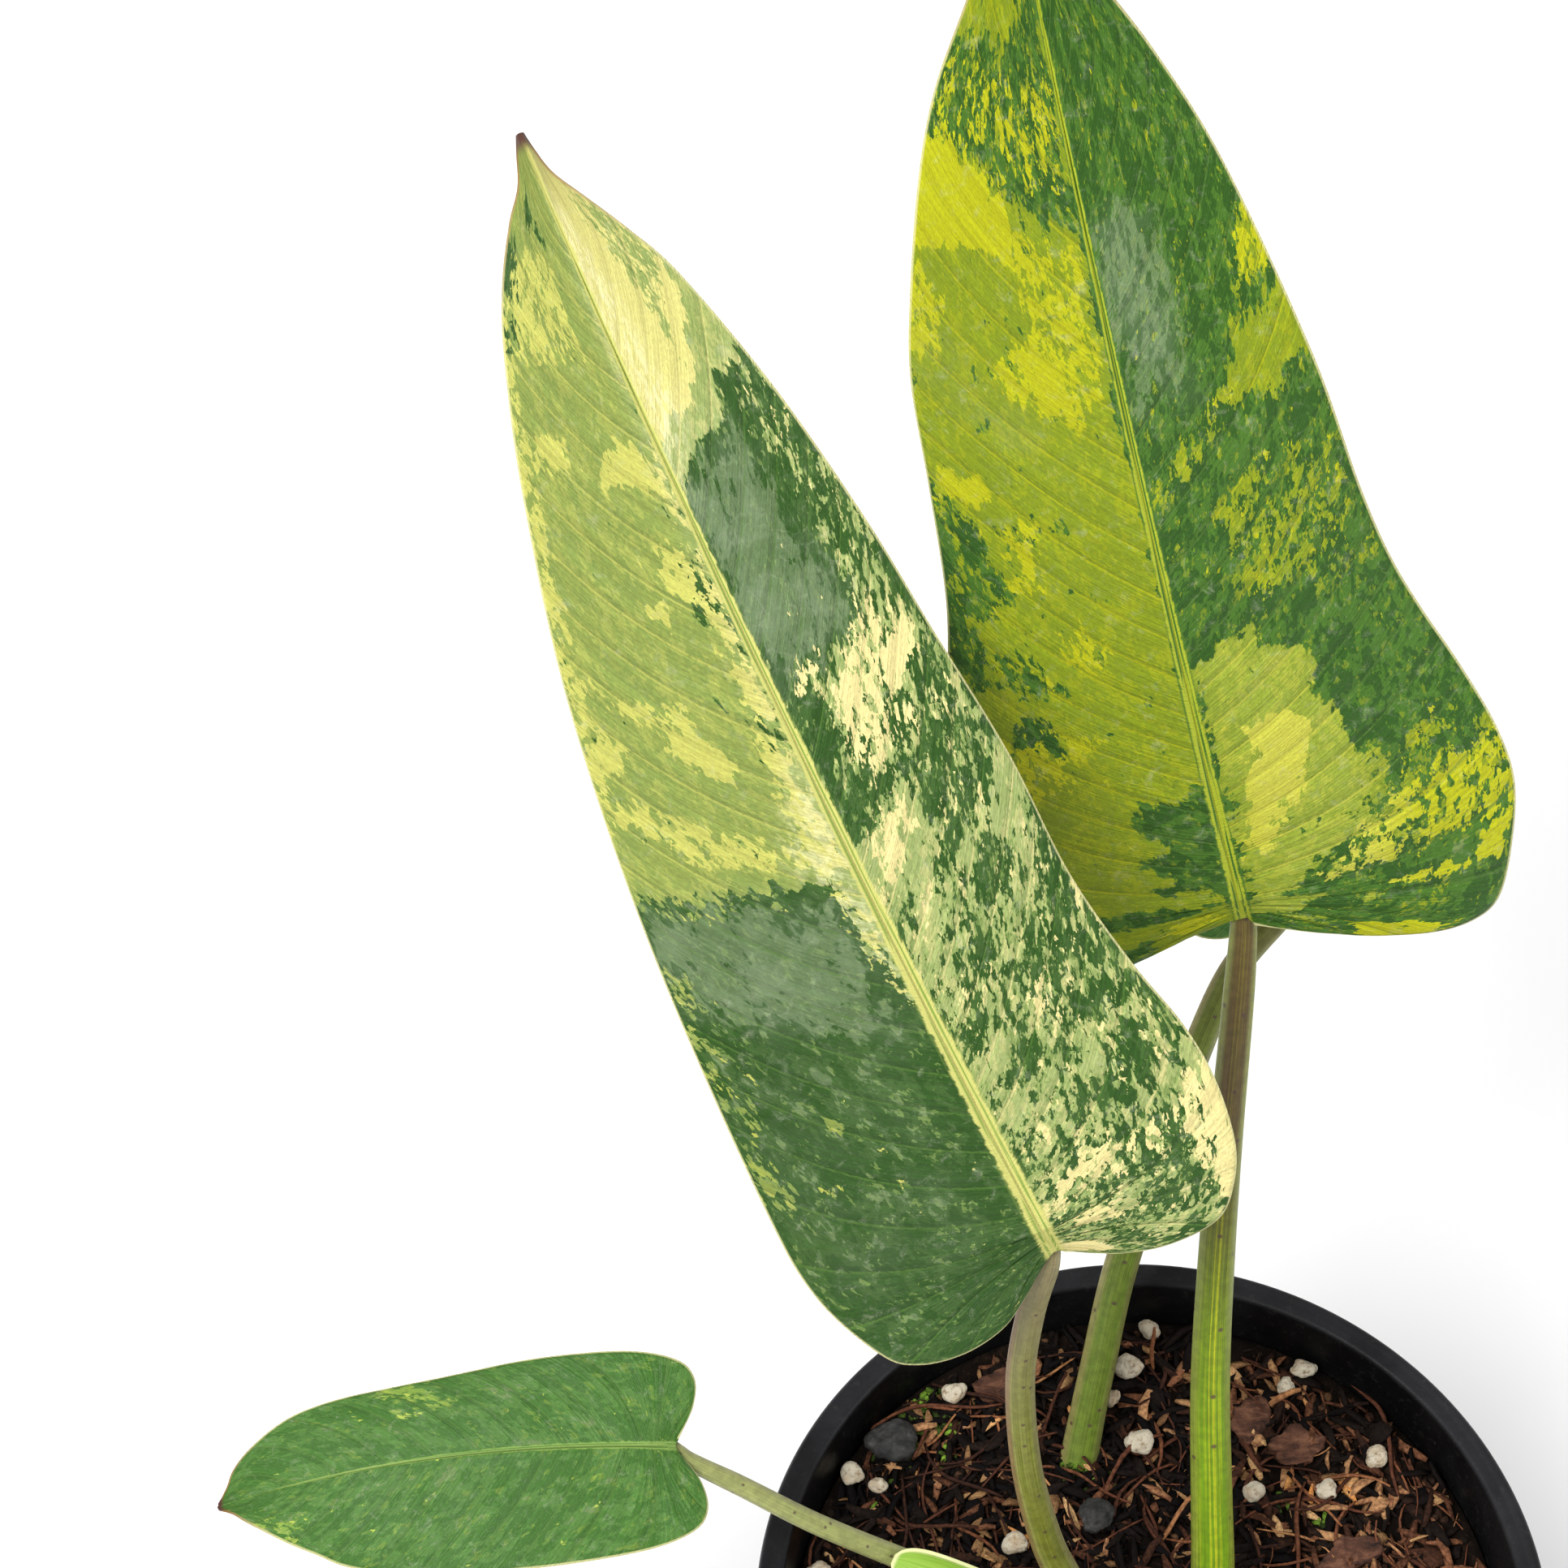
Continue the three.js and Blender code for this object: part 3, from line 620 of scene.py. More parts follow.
# %% Blades: the leaf's own coordinates
BLADES = {
    "front": {
        "junction": [-33, 10, 313.5], "tip": [-146.8, 157, 511.5], "face": [0.106, -0.768, 0.631],
        "left": [[-1.4, 2.5], [-8, 11], [-12, 18], [-13, 28], [-10, 38], [-3, 44.5], [18, 51.5],
                 [45, 52.5], [107, 49.5], [161, 42.5], [204, 32.2], [231, 23.4], [245, 17.2],
                 [256, 10.2], [262, 5.2], [268, 2.4]],
        "right": [[-1, 2.5], [-7, 13], [-10, 24], [-9, 36], [-2, 42.5], [8, 46.5], [24, 48],
                  [39, 46.5], [57, 42], [81, 38], [111, 37], [142, 33.5], [170, 30.5], [203, 25],
                  [232, 17.5], [245, 11.8], [255, 6.4], [262, 2.6], [268, 1.2]],
        "fold": 0.1, "bow": 8, "wave": 1.6, "waves": 3.5, "phase": 0.4, "sway": -2.8,
        "rows": 210, "columns": 34, "rib": 2.3},
    "back": {
        "junction": [13, 89.4, 329.4], "tip": [-48.5, 158.7, 575.4], "face": [-0.01, -0.963, 0.269],
        "left": [[-1, 3], [-5, 14], [-9, 25], [-12, 38], [-8, 50], [5, 58], [25, 61], [45, 59],
                 [70, 54], [92, 50], [111, 46.5], [140, 44], [166, 42], [185, 38], [209, 31],
                 [226, 24], [242, 14]],
        "right": [[-1.2, 2.4], [-4, 8], [-8, 19], [-11, 30], [-12, 43], [-9, 52], [-2, 58],
                  [14, 62.5], [33, 65.5], [49, 63.5], [67, 58], [84, 52], [100, 47.5], [120, 44],
                  [154, 39.5], [197, 29.5], [222, 21], [240, 13]],
        "fold": 0.08, "bow": 9, "wave": 2.4, "waves": 4, "phase": 1.1, "sway": -0.8,
        "rows": 210, "columns": 34, "rib": 1.9},
    "rear": {
        "junction": [38.4, 151.9, 251.2], "tip": [4, 348, 300], "face": [0.1, -0.22, 1],
        "left": [[-1, 2.5], [-6, 12], [-9, 22], [-6, 31], [6, 35.5], [24, 36.5], [60, 33], [100, 28],
                 [140, 22], [172, 14], [192, 6]],
        "right": [[-1, 2.5], [-6, 12], [-9, 22], [-6, 31], [6, 35.5], [24, 36.5], [60, 33.5],
                  [100, 28.5], [140, 22], [172, 14], [192, 6]],
        "fold": 0.16, "bow": 22, "wave": 2.2, "waves": 3, "phase": 2.0, "sway": 2,
        "rows": 150, "columns": 24, "rib": 1.6},
    "low": {
        "junction": [-119, 14.3, 213.5], "tip": [-232, 10.5, 188.7], "face": [-0.09, -0.32, 0.94],
        "left": [[-1, 2.5], [-5, 9], [-6, 16], [-2, 21], [10, 24.5], [32, 26], [56, 25], [72, 22.5],
                 [83, 19.3], [90, 15.6], [97, 12], [103, 8.3], [108, 5.2], [112, 2.4]],
        "right": [[-1, 2], [-5, 9], [-6, 16], [-2, 21], [10, 24], [32, 24.5], [54, 23], [70, 22],
                  [80, 21.3], [87, 20.3], [94, 18.7], [101, 15.6], [107, 11.8], [111, 8],
                  [113, 4.4]],
        "fold": 0.04, "bow": 8, "wave": 1, "waves": 2.5, "phase": 0.9, "sway": 3.6,
        "rows": 130, "columns": 20, "rib": 1.1},
}
BLADE_THICKNESS = 0.8
TIP_HALF_WIDTH = 0.7


def leaf_axes(leaf):
    along = np.array(leaf["tip"], float) - np.array(leaf["junction"], float)
    length = float(np.linalg.norm(along))
    along /= length
    right = np.cross(along, np.array(leaf["face"], float))
    right /= np.linalg.norm(right)
    return along, right, np.cross(right, along), length


def vein_start(share, length):
    """Where on the midrib the vein that ends at this share of the margin begins."""
    rest = (np.maximum(share - 0.2, 0) / 0.8) ** 1.22
    return np.where(share < 0.2, 6 * share / 0.2, 6 + (length + 0.3 - 6) * rest)


def leaf_sheet(leaf, flank, share, out):
    """Flat place along and across, and the lift, of points on the middle of the blade."""
    length = leaf_axes(leaf)[3]
    margins = {}
    for name in ("left", "right"):
        margins[name] = smooth_curve(leaf[name] + [[length, TIP_HALF_WIDTH]])[0](share)
    end = np.where((flank < 0)[:, None], margins["left"], margins["right"])
    start = vein_start(share, length)
    bend_along = start + 0.25 * (end[:, 0] - start)
    bend_out = 0.55 * end[:, 1]
    near = 1 - out
    x = near * near * start + 2 * near * out * bend_along + out * out * end[:, 0]
    far = x / length
    middle = 4 * far * (1 - far)
    y = flank * (2 * near * out * bend_out + out * out * end[:, 1])
    y = y + leaf["sway"] * middle * (1 - out * out)
    wave = leaf["wave"] * out ** 2 * np.sin(np.pi * leaf["waves"] * far + leaf["phase"] * np.sign(y))
    lift = leaf["bow"] * middle + leaf["fold"] * (np.hypot(y, 4) - 4) + wave
    return x, y, lift


def leaf_place(leaf, x, y, lift):
    along, right, out_of_face, _ = leaf_axes(leaf)
    place = np.array(leaf["junction"]) + along * x[:, None] + right * y[:, None]
    return place + out_of_face * lift[:, None]


print("leaf lengths mm", {name: round(leaf_axes(leaf)[3]) for name, leaf in BLADES.items()})

# %% [markdown]
# The variegation is not a repeated pattern: each leaf has its own patches, laid down when it
# grew. They are painted one by one here, as outlines in the leaf's own coordinates. Each outline
# sets a value for what lies inside it: a high value is solidly light, a low one solidly dark, and
# values near nought leave it to fine vein-wise noise in the material, which gives the speckled,
# streaky places. Only these few soft fields are stored on the mesh; the crisp ragged edges are
# the shader's.

# %% Patches of colour, painted in leaf coordinates
# Each row: field, value, outline as (across, along) points; across runs from -1 at the left margin
# over 0 at the midrib to 1 at the right margin, along from 0 at the base to 1 at the tip.


def band(left, right, low, high):
    return [(left, low), (right, low), (right, high), (left, high)]


FRONT_PATCHES = [
    ("light", -11, band(-1.1, 0, -0.1, 1.1)),
    ("light", 0.4, band(0, 1.1, -0.1, 1.1)),
    ("warm", 0.75, band(-1.1, 0, 0.4, 1.1)),
    ("warm", 0.05, band(0, 1.1, -0.1, 1.1)),
    ("light", 10, [(-1.1, 0.505), (-0.6, 0.52), (-0.4, 0.53), (-0.2, 0.54), (-0.12, 0.535),
                   (-0.1, 0.5), (-0.05, 0.465), (-0.03, 0.44), (0, 0.44), (0, 1.1), (-1.1, 1.1)]),
    ("light", -9, [(-1.1, 0.905), (-0.88, 0.9), (-0.84, 0.925), (-0.9, 0.937), (-1.1, 0.935)]),
    ("light", -9, band(-1.1, -0.88, 0.872, 0.888)),
    ("light", -8, [(-0.78, 0.958), (-0.55, 0.945), (-0.38, 0.94), (-0.5, 0.952), (-0.7, 0.966)]),
    ("light", -4, [(-0.2, 0.71), (-0.03, 0.715), (-0.02, 0.76), (-0.14, 0.762), (-0.21, 0.745)]),
    ("light", -9, band(-0.12, -0.03, 0.635, 0.655)),
    ("light", -4, [(-0.95, 0.50), (-0.62, 0.515), (-0.35, 0.525), (-0.35, 0.54), (-0.62, 0.53),
                   (-0.95, 0.52)]),
    ("cream", 0.5, [(-0.95, 0.865), (-0.3, 0.875), (-0.35, 0.93), (-0.9, 0.935)]),
    ("cream", 7, band(-0.45, -0.12, 0.8, 0.826)),
    ("cream", 7, band(-0.97, -0.67, 0.805, 0.825)),
    ("cream", 7, band(-0.46, -0.33, 0.718, 0.73)),
    ("cream", 4, [(-0.3, 0.735), (-0.08, 0.73), (-0.1, 0.772), (-0.28, 0.762)]),
    ("cream", 3, band(-0.82, -0.42, 0.65, 0.665)),
    ("cream", 9, [(-0.6, 0.635), (-0.35, 0.61), (-0.3, 0.625), (-0.4, 0.645), (-0.55, 0.645)]),
    ("cream", 7, band(-0.97, -0.8, 0.61, 0.63)),
    ("cream", 3, [(-0.95, 0.57), (-0.7, 0.555), (-0.2, 0.55), (-0.22, 0.572), (-0.5, 0.582),
                  (-0.85, 0.59)]),
    ("cream", 1, [(-0.2, 0.56), (-0.05, 0.44), (-0.02, 0.44), (-0.02, 0.84), (-0.14, 0.8),
                  (-0.16, 0.66)]),
    ("pale", 0.35, [(-0.25, 0.56), (-0.1, 0.45), (0, 0.44), (0, 0.6), (-0.08, 0.62)]),
    ("cream", 2, band(-1.05, -0.9, 0.56, 0.9)),
    ("light", 6, [(-0.6, 0.345), (-0.5, 0.345), (-0.5, 0.357), (-0.58, 0.36)]),
    ("light", 5, band(-0.73, -0.67, 0.294, 0.302)),
    ("light", -2.5, band(-1.05, -0.86, 0.28, 0.47)),
    ("warm", 0.9, band(-1.1, -0.4, 0.28, 0.4)),
    ("light", 11, [(0, 0.798), (0.05, 0.797), (0.4, 0.806), (0.55, 0.802), (0.75, 0.82),
                   (0.85, 0.822), (0.93, 0.80), (1.1, 0.83), (1.1, 1.1), (0, 1.1)]),
    ("cream", 12, [(0, 0.84), (0.06, 0.823), (0.2, 0.829), (0.5, 0.828), (0.6, 0.832), (0.7, 0.85),
                   (0.85, 0.856), (0.92, 0.88), (1.1, 0.90), (1.1, 1.1), (0, 1.1)]),
    ("cream", -1.5, [(0.55, 0.84), (0.7, 0.87), (1.1, 0.90), (1.1, 0.97), (0.6, 0.95)]),
    ("warm", 0.45, band(0, 1.1, 0.82, 1.1)),
    ("pale", 0.4, [(0, 0.8), (0.3, 0.82), (0.35, 0.96), (0.1, 0.98), (0, 0.96)]),
    ("light", -11, [(0.035, 0.795), (0.4, 0.805), (0.55, 0.80), (0.75, 0.818), (0.92, 0.795),
                    (1.1, 0.83), (1.1, 0.6), (0.97, 0.61), (0.95, 0.66), (0.8, 0.672),
                    (0.7, 0.655), (0.58, 0.648), (0.42, 0.66), (0.3, 0.668), (0.1, 0.688),
                    (0.035, 0.69)]),
    ("light", -3, band(0.7, 1.1, 0.66, 0.80)),
    ("light", -6, [(0.3, 0.668), (0.035, 0.69), (0.035, 0.655), (0.25, 0.64), (0.42, 0.655)]),
    ("cream", 3, [(0.12, 0.655), (0.35, 0.652), (0.4, 0.662), (0.2, 0.67)]),
    ("light", 2.5, [(0.25, 0.6), (0.9, 0.59), (0.93, 0.66), (0.7, 0.655), (0.4, 0.65),
                    (0.25, 0.645)]),
    ("cream", 1.0, [(0.28, 0.6), (0.9, 0.595), (0.85, 0.655), (0.6, 0.65), (0.3, 0.642)]),
    ("cream", 5.5, [(0.25, 0.625), (0.55, 0.625), (0.65, 0.64), (0.45, 0.647), (0.3, 0.642)]),
    ("cream", 5, [(0.6, 0.598), (0.85, 0.6), (0.9, 0.615), (0.7, 0.62)]),
    ("light", -9, [(0.04, 0.612), (0.2, 0.615), (0.27, 0.635), (0.22, 0.652), (0.04, 0.65)]),
    ("light", -8, [(0.04, 0.56), (0.18, 0.558), (0.24, 0.58), (0.15, 0.598), (0.04, 0.598)]),
    ("light", -3.5, [(0.24, 0.56), (0.9, 0.53), (0.95, 0.6), (0.3, 0.605)]),
    ("cream", 2.5, [(0.3, 0.575), (0.68, 0.578), (0.65, 0.605), (0.3, 0.605)]),
    ("light", 9, [(0.04, 0.5), (0.4, 0.51), (0.47, 0.53), (0.44, 0.56), (0.06, 0.556)]),
    ("cream", 2.2, [(0.05, 0.51), (0.4, 0.53), (0.42, 0.56), (0.06, 0.556)]),
    ("light", -3.5, [(0.45, 0.5), (1.1, 0.49), (1.1, 0.56), (0.5, 0.545)]),
    ("light", 3, [(0.04, 0.40), (0.6, 0.42), (0.95, 0.46), (0.95, 0.5), (0.5, 0.495),
                  (0.04, 0.485)]),
    ("light", -7, [(0.28, 0.425), (0.45, 0.43), (0.5, 0.445), (0.3, 0.44)]),
    ("light", -6, [(0.5, 0.45), (0.75, 0.455), (0.82, 0.47), (0.7, 0.482), (0.55, 0.478)]),
    ("light", 8, [(0.75, 0.455), (1.1, 0.47), (1.1, 0.505), (0.78, 0.485)]),
    ("light", -2.2, [(0.55, 0.29), (1.1, 0.29), (1.1, 0.45), (0.6, 0.42)]),
    ("light", -1, [(0.04, 0.385), (0.55, 0.39), (0.6, 0.415), (0.04, 0.4)]),
    ("cream", 3, [(0.45, 0.358), (0.62, 0.368), (0.66, 0.388), (0.5, 0.385)]),
    ("light", 5, [(0.04, 0.30), (0.28, 0.33), (0.28, 0.375), (0.04, 0.37)]),
    ("light", -7, [(0.27, 0.345), (0.42, 0.345), (0.4, 0.36), (0.3, 0.37)]),
    ("light", 3, [(0.04, 0.28), (0.5, 0.30), (0.85, 0.305), (0.8, 0.33), (0.3, 0.32), (0.04, 0.31)]),
    ("light", -3.5, [(0.2, 0.26), (0.6, 0.268), (1.1, 0.262), (1.1, 0.296), (0.5, 0.297),
                     (0.25, 0.285)]),
    ("light", 4, [(0.03, 0.235), (0.2, 0.25), (0.5, 0.255), (1.1, 0.24), (1.1, 0.255),
                  (0.3, 0.262)]),
    ("cream", 2.5, [(0.06, 0.205), (0.2, 0.215), (0.45, 0.235), (0.45, 0.255), (0.2, 0.248),
                    (0.05, 0.235)]),
    ("light", -2, [(0.45, 0.18), (0.9, 0.18), (0.9, 0.235), (0.45, 0.235)]),
    ("cream", 1.2, [(0.42, 0.212), (0.85, 0.2), (0.85, 0.232), (0.45, 0.236)]),
    ("cream", 1.5, [(0.84, 0.14), (1.1, 0.13), (1.1, 0.26), (0.88, 0.24), (0.8, 0.19),
                    (0.82, 0.155)]),
    ("cream", 7, [(0.94, 0.13), (1.1, 0.12), (1.1, 0.25), (0.96, 0.235), (0.92, 0.18)]),
    ("light", 0.5, [(0.04, 0.05), (0.5, 0.07), (0.5, 0.2), (0.2, 0.2), (0.05, 0.17)]),
    ("cream", 2.5, [(0.12, 0.13), (0.38, 0.13), (0.35, 0.19), (0.15, 0.18)]),
    ("light", -3, [(0.48, 0.10), (0.86, 0.11), (0.92, 0.14), (0.8, 0.17), (0.75, 0.195),
                   (0.5, 0.19)]),
    ("light", -2.5, [(0.55, 0.062), (0.85, 0.068), (1.1, 0.09), (0.92, 0.13), (0.75, 0.1),
                     (0.5, 0.085)]),
    ("light", 5, [(0.65, 0.095), (0.95, 0.11), (0.9, 0.128), (0.6, 0.11)]),
    ("cream", 8, [(0, -0.1), (0.9, -0.1), (0.75, 0.05), (0.4, 0.062), (0.15, 0.06), (0.08, 0.09),
                  (0, 0.09)]),
    # The veil rows mark where dust and a painted sheen lie over dark tissue, together with water marks.
    ("sheen_veil", 0.8, [(-0.95, 0.44), (-0.3, 0.42), (-0.12, 0.42), (-0.12, 0.52), (-0.6, 0.53),
                   (-0.98, 0.5)]),
    ("sheen_veil", 0.2, [(-0.95, 0.26), (-0.3, 0.2), (-0.15, 0.3), (-0.2, 0.42), (-0.6, 0.42),
                   (-0.98, 0.4)]),
    ("sheen_veil", 0.18, [(-0.9, 0.14), (-0.4, 0.15), (-0.3, 0.24), (-0.95, 0.26)]),
    ("sheen_veil", 0.92, [(0.03, 0.67), (0.65, 0.66), (0.6, 0.79), (0.03, 0.79)]),
]
BACK_PATCHES = [
    ("light", 8, band(-1.1, 0, -0.1, 1.1)),
    ("light", -7, band(0, 1.1, -0.1, 1.1)),
    ("warm", 1.0, band(-1.1, 1.1, -0.1, 1.1)),
    ("warm", 0.15, [(0.04, 0.05), (0.5, 0.07), (0.6, 0.5), (0.04, 0.5)]),
    ("light", -5, [(-1.1, 0.845), (-0.6, 0.838), (-0.4, 0.822), (-0.03, 0.8), (-0.03, 1.1),
                   (-1.1, 1.1)]),
    ("light", 8, [(-1.1, 0.917), (-0.6, 0.913), (-0.45, 0.912), (-0.3, 0.93), (-0.5, 0.96),
                  (-1.1, 0.96)]),
    ("light", 4, [(-1.1, 0.97), (-0.3, 0.965), (-0.1, 0.985), (-1.1, 1.1)]),
    ("cream", 7, band(-0.87, -0.77, 0.865, 0.878)),
    ("cream", -2.5, band(-0.95, -0.05, 0.83, 0.895)),
    ("cream", 11, [(-1.1, 0.775), (-0.8, 0.785), (-0.6, 0.79), (-0.42, 0.785), (-0.45, 0.815),
                   (-0.6, 0.835), (-0.8, 0.84), (-1.1, 0.846)]),
    ("cream", 1, [(-0.45, 0.7), (-0.05, 0.7), (-0.05, 0.79), (-0.4, 0.81)]),
    ("cream", 5, [(-0.55, 0.69), (-0.2, 0.675), (-0.15, 0.695), (-0.35, 0.725), (-0.5, 0.73),
                  (-0.6, 0.712)]),
    ("cream", 2, [(-1.1, 0.7), (-0.85, 0.705), (-0.8, 0.755), (-1.1, 0.78)]),
    ("cream", 6, [(-0.95, 0.6), (-0.72, 0.598), (-0.68, 0.612), (-0.75, 0.622), (-0.95, 0.625)]),
    ("cream", 2, [(-0.7, 0.54), (-0.55, 0.54), (-0.5, 0.6), (-0.65, 0.6)]),
    ("cream", 4, [(-0.5, 0.49), (-0.3, 0.48), (-0.25, 0.5), (-0.4, 0.52), (-0.5, 0.515)]),
    ("cream", 4, band(-0.5, -0.35, 0.408, 0.42)),
    ("cream", 2, [(-1.1, 0.35), (-0.55, 0.36), (-0.45, 0.4), (-0.6, 0.42), (-1.1, 0.4)]),
    ("light", -3.5, [(-1.1, 0.58), (-0.88, 0.585), (-0.9, 0.602), (-1.1, 0.607)]),
    ("light", -5, [(-1.1, 0.48), (-0.85, 0.505), (-0.7, 0.53), (-0.7, 0.55), (-0.8, 0.58),
                   (-0.95, 0.59), (-1.1, 0.585)]),
    ("light", -3, [(-1.1, 0.45), (-0.75, 0.455), (-0.6, 0.452), (-0.48, 0.46), (-0.55, 0.472),
                   (-0.8, 0.485), (-0.85, 0.5), (-1.1, 0.5)]),
    ("light", -6, [(-0.75, 0.405), (-0.52, 0.4), (-0.5, 0.418), (-0.6, 0.435), (-0.72, 0.432)]),
    ("light", -5, band(-0.45, -0.37, 0.597, 0.604)),
    ("light", -5, band(-0.68, -0.57, 0.573, 0.59)),
    ("light", -9, [(-0.02, 0.2), (-0.14, 0.24), (-0.28, 0.275), (-0.27, 0.29), (-0.17, 0.3),
                   (-0.3, 0.322), (-0.25, 0.36), (-0.16, 0.345), (-0.1, 0.35), (-0.06, 0.365),
                   (-0.02, 0.365)]),
    ("light", -8, band(-0.3, -0.15, 0.238, 0.244)),
    ("light", -8, [(-0.5, 0.185), (-0.1, 0.17), (-0.1, 0.2), (-0.35, 0.215), (-0.6, 0.225),
                   (-1.1, 0.24), (-1.1, 0.19)]),
    ("light", -6, [(-1.1, 0.05), (-0.6, 0.09), (-0.45, 0.13), (-0.6, 0.14), (-1.1, 0.1)]),
    ("cream", 4, [(-0.4, 0.08), (-0.1, 0.08), (-0.12, 0.15), (-0.3, 0.155), (-0.45, 0.12)]),
    ("light", 8, [(0.04, 0.478), (0.2, 0.498), (0.4, 0.498), (0.35, 0.48), (0.45, 0.47),
                  (0.55, 0.466), (0.58, 0.45), (0.5, 0.425), (0.53, 0.40), (0.53, 0.37),
                  (0.6, 0.345), (0.5, 0.305), (0.4, 0.275), (0.3, 0.25), (0.25, 0.225),
                  (0.15, 0.2), (0.3, 0.19), (0.28, 0.14), (0.3, 0.1), (0.2, 0.07), (0.04, 0.05)]),
    ("cream", 9, [(0.15, 0.415), (0.33, 0.42), (0.41, 0.4), (0.36, 0.38), (0.3, 0.35), (0.2, 0.3),
                  (0.12, 0.27), (0.08, 0.3), (0.12, 0.36), (0.17, 0.39)]),
    ("light", 7, [(0.55, 0.668), (0.6, 0.69), (0.68, 0.715), (0.78, 0.705), (1.1, 0.715),
                  (1.1, 0.67), (0.9, 0.66), (0.8, 0.65), (0.7, 0.652), (0.63, 0.665)]),
    ("light", 5, [(0.8, 0.725), (0.85, 0.745), (0.93, 0.77), (1.1, 0.765), (1.1, 0.715),
                  (0.95, 0.725)]),
    ("cream", 4, [(0.8, 0.73), (0.85, 0.748), (0.93, 0.765), (1.1, 0.76), (1.1, 0.72)]),
    ("light", 3, [(0.04, 0.612), (0.25, 0.635), (0.55, 0.665), (0.55, 0.675), (0.25, 0.652),
                  (0.04, 0.63)]),
    ("light", 6, [(0.31, 0.592), (0.4, 0.58), (0.5, 0.59), (0.58, 0.617), (0.42, 0.61),
                  (0.32, 0.602)]),
    ("light", -1.5, [(0.3, 0.52), (0.95, 0.53), (0.95, 0.6), (0.6, 0.63), (0.35, 0.57)]),
    ("light", 5, band(0.68, 0.95, 0.503, 0.512)),
    ("light", 4, [(0.35, 0.53), (0.5, 0.52), (0.55, 0.53), (0.45, 0.56), (0.35, 0.55)]),
    ("light", -11, [(0.6, 0.36), (0.5, 0.43), (0.6, 0.46), (0.5, 0.475), (0.4, 0.495),
                    (0.7, 0.495), (1.1, 0.5), (1.1, 0.37), (0.9, 0.375), (0.7, 0.37)]),
    ("light", 5, [(0.62, 0.348), (0.75, 0.36), (0.88, 0.362), (0.88, 0.345), (0.7, 0.345)]),
    ("light", -1.5, [(0.3, 0.23), (0.55, 0.25), (1.1, 0.28), (1.1, 0.34), (0.65, 0.34), (0.5, 0.3)]),
    ("cream", 1.5, [(0.3, 0.22), (0.6, 0.24), (1.1, 0.28), (1.1, 0.34), (0.65, 0.33), (0.5, 0.29)]),
    ("cream", 8, [(0.86, 0.225), (0.97, 0.22), (0.98, 0.265), (0.86, 0.25)]),
    ("cream", 5, band(0.5, 0.68, 0.205, 0.214)),
    ("cream", 5, [(0.7, 0.208), (0.8, 0.208), (0.84, 0.222), (0.75, 0.223)]),
    ("light", 5, band(0.57, 0.65, 0.182, 0.194)),
    ("light", -6, [(0.3, 0.135), (0.6, 0.14), (0.8, 0.15), (1.1, 0.15), (1.1, 0.2), (0.8, 0.2),
                   (0.45, 0.2), (0.32, 0.19)]),
    ("cream", 7, [(0.65, 0.1), (0.8, 0.135), (0.95, 0.14), (1.1, 0.11), (1.1, 0.075), (0.9, 0.075),
                  (0.8, 0.09)]),
    ("light", -2, [(0.25, 0.09), (0.6, 0.1), (0.9, 0.065), (0.95, 0.045), (0.6, 0.05),
                   (0.25, 0.07)]),
    ("sheen_veil", 0.6, [(0.03, 0.68), (0.35, 0.68), (0.45, 0.8), (0.2, 0.82), (0.03, 0.8)]),
    ("sheen_veil", 0.5, [(-0.98, 0.7), (-0.6, 0.66), (-0.3, 0.655), (-0.6, 0.68), (-0.98, 0.74)]),
]
GREEN_PATCHES = [
    ("light", -9, band(-1.1, 1.1, -0.1, 1.1)),
    ("warm", 0.6, band(-1.1, 1.1, -0.1, 1.1)),
]
LOW_PATCHES = GREEN_PATCHES + [
    ("light", -0.5, band(-1.1, -0.55, 0.83, 0.93)),
    ("light", -1.5, band(0.5, 1.1, 0.55, 0.66)),
    ("sheen_veil", 0.08, band(-0.9, 0.9, 0.3, 0.9)),
]
PATCHES = {"front": FRONT_PATCHES, "back": BACK_PATCHES, "rear": GREEN_PATCHES, "low": LOW_PATCHES}
FIELD_SOFTNESS = {"light": 4.4, "cream": 3.6, "warm": 9.0, "pale": 5.0, "sheen_veil": 8.0}
FIELD_START = {"light": -9.0, "cream": -9.5, "warm": 0.5, "pale": 0.0, "sheen_veil": 0.0, "mottle": 0.2}


def outline_depth(outline, points):
    """Signed distance of points to a closed outline, positive inside."""
    corners = np.array(outline, float)
    nexts = np.roll(corners, -1, axis=0)
    nearest = np.full(len(points), np.inf)
    inside = np.zeros(len(points), bool)
    for (ax, ay), (bx, by) in zip(corners, nexts):
        edge = np.array([bx - ax, by - ay])
        away = points - [ax, ay]
        share = np.clip((away @ edge) / max(edge @ edge, 1e-12), 0, 1)
        nearest = np.minimum(nearest, np.linalg.norm(away - share[:, None] * edge, axis=1))
        crosses = ((ay > points[:, 1]) != (by > points[:, 1]))
        level = np.where(crosses, (points[:, 1] - ay) / np.where(by == ay, 1, by - ay), 0)
        inside ^= crosses & (points[:, 0] < ax + level * (bx - ax))
    return np.where(inside, nearest, -nearest)


def smooth_weight(depth, softness):
    weight = np.clip(depth / softness / 2 + 0.5, 0, 1)
    return weight * weight * (3 - 2 * weight)


def paint(patches, across, share, half_width, margin_length):
    """The soft fields of a leaf: each patch pulls its field towards its value inside its outline.

    A value near nought also turns up the mottle there, which is how strongly specks break it up.
    """
    scale = np.array([half_width, margin_length])
    points = np.stack([across, share], 1) * scale
    fields = {name: np.full(len(across), value) for name, value in FIELD_START.items()}
    for name, value, outline in patches:
        depth = outline_depth(np.array(outline) * scale, points)
        fields[name] += (value - fields[name]) * smooth_weight(depth, FIELD_SOFTNESS[name])
        if name in ("light", "cream"):
            mottle = min(1.0, max(0.1, (8 - abs(value)) / 4.5))
            fields["mottle"] += (mottle - fields["mottle"]) * smooth_weight(depth + 1, 1.5)
    return fields


print("patches painted:", {name: len(rows) for name, rows in PATCHES.items()})

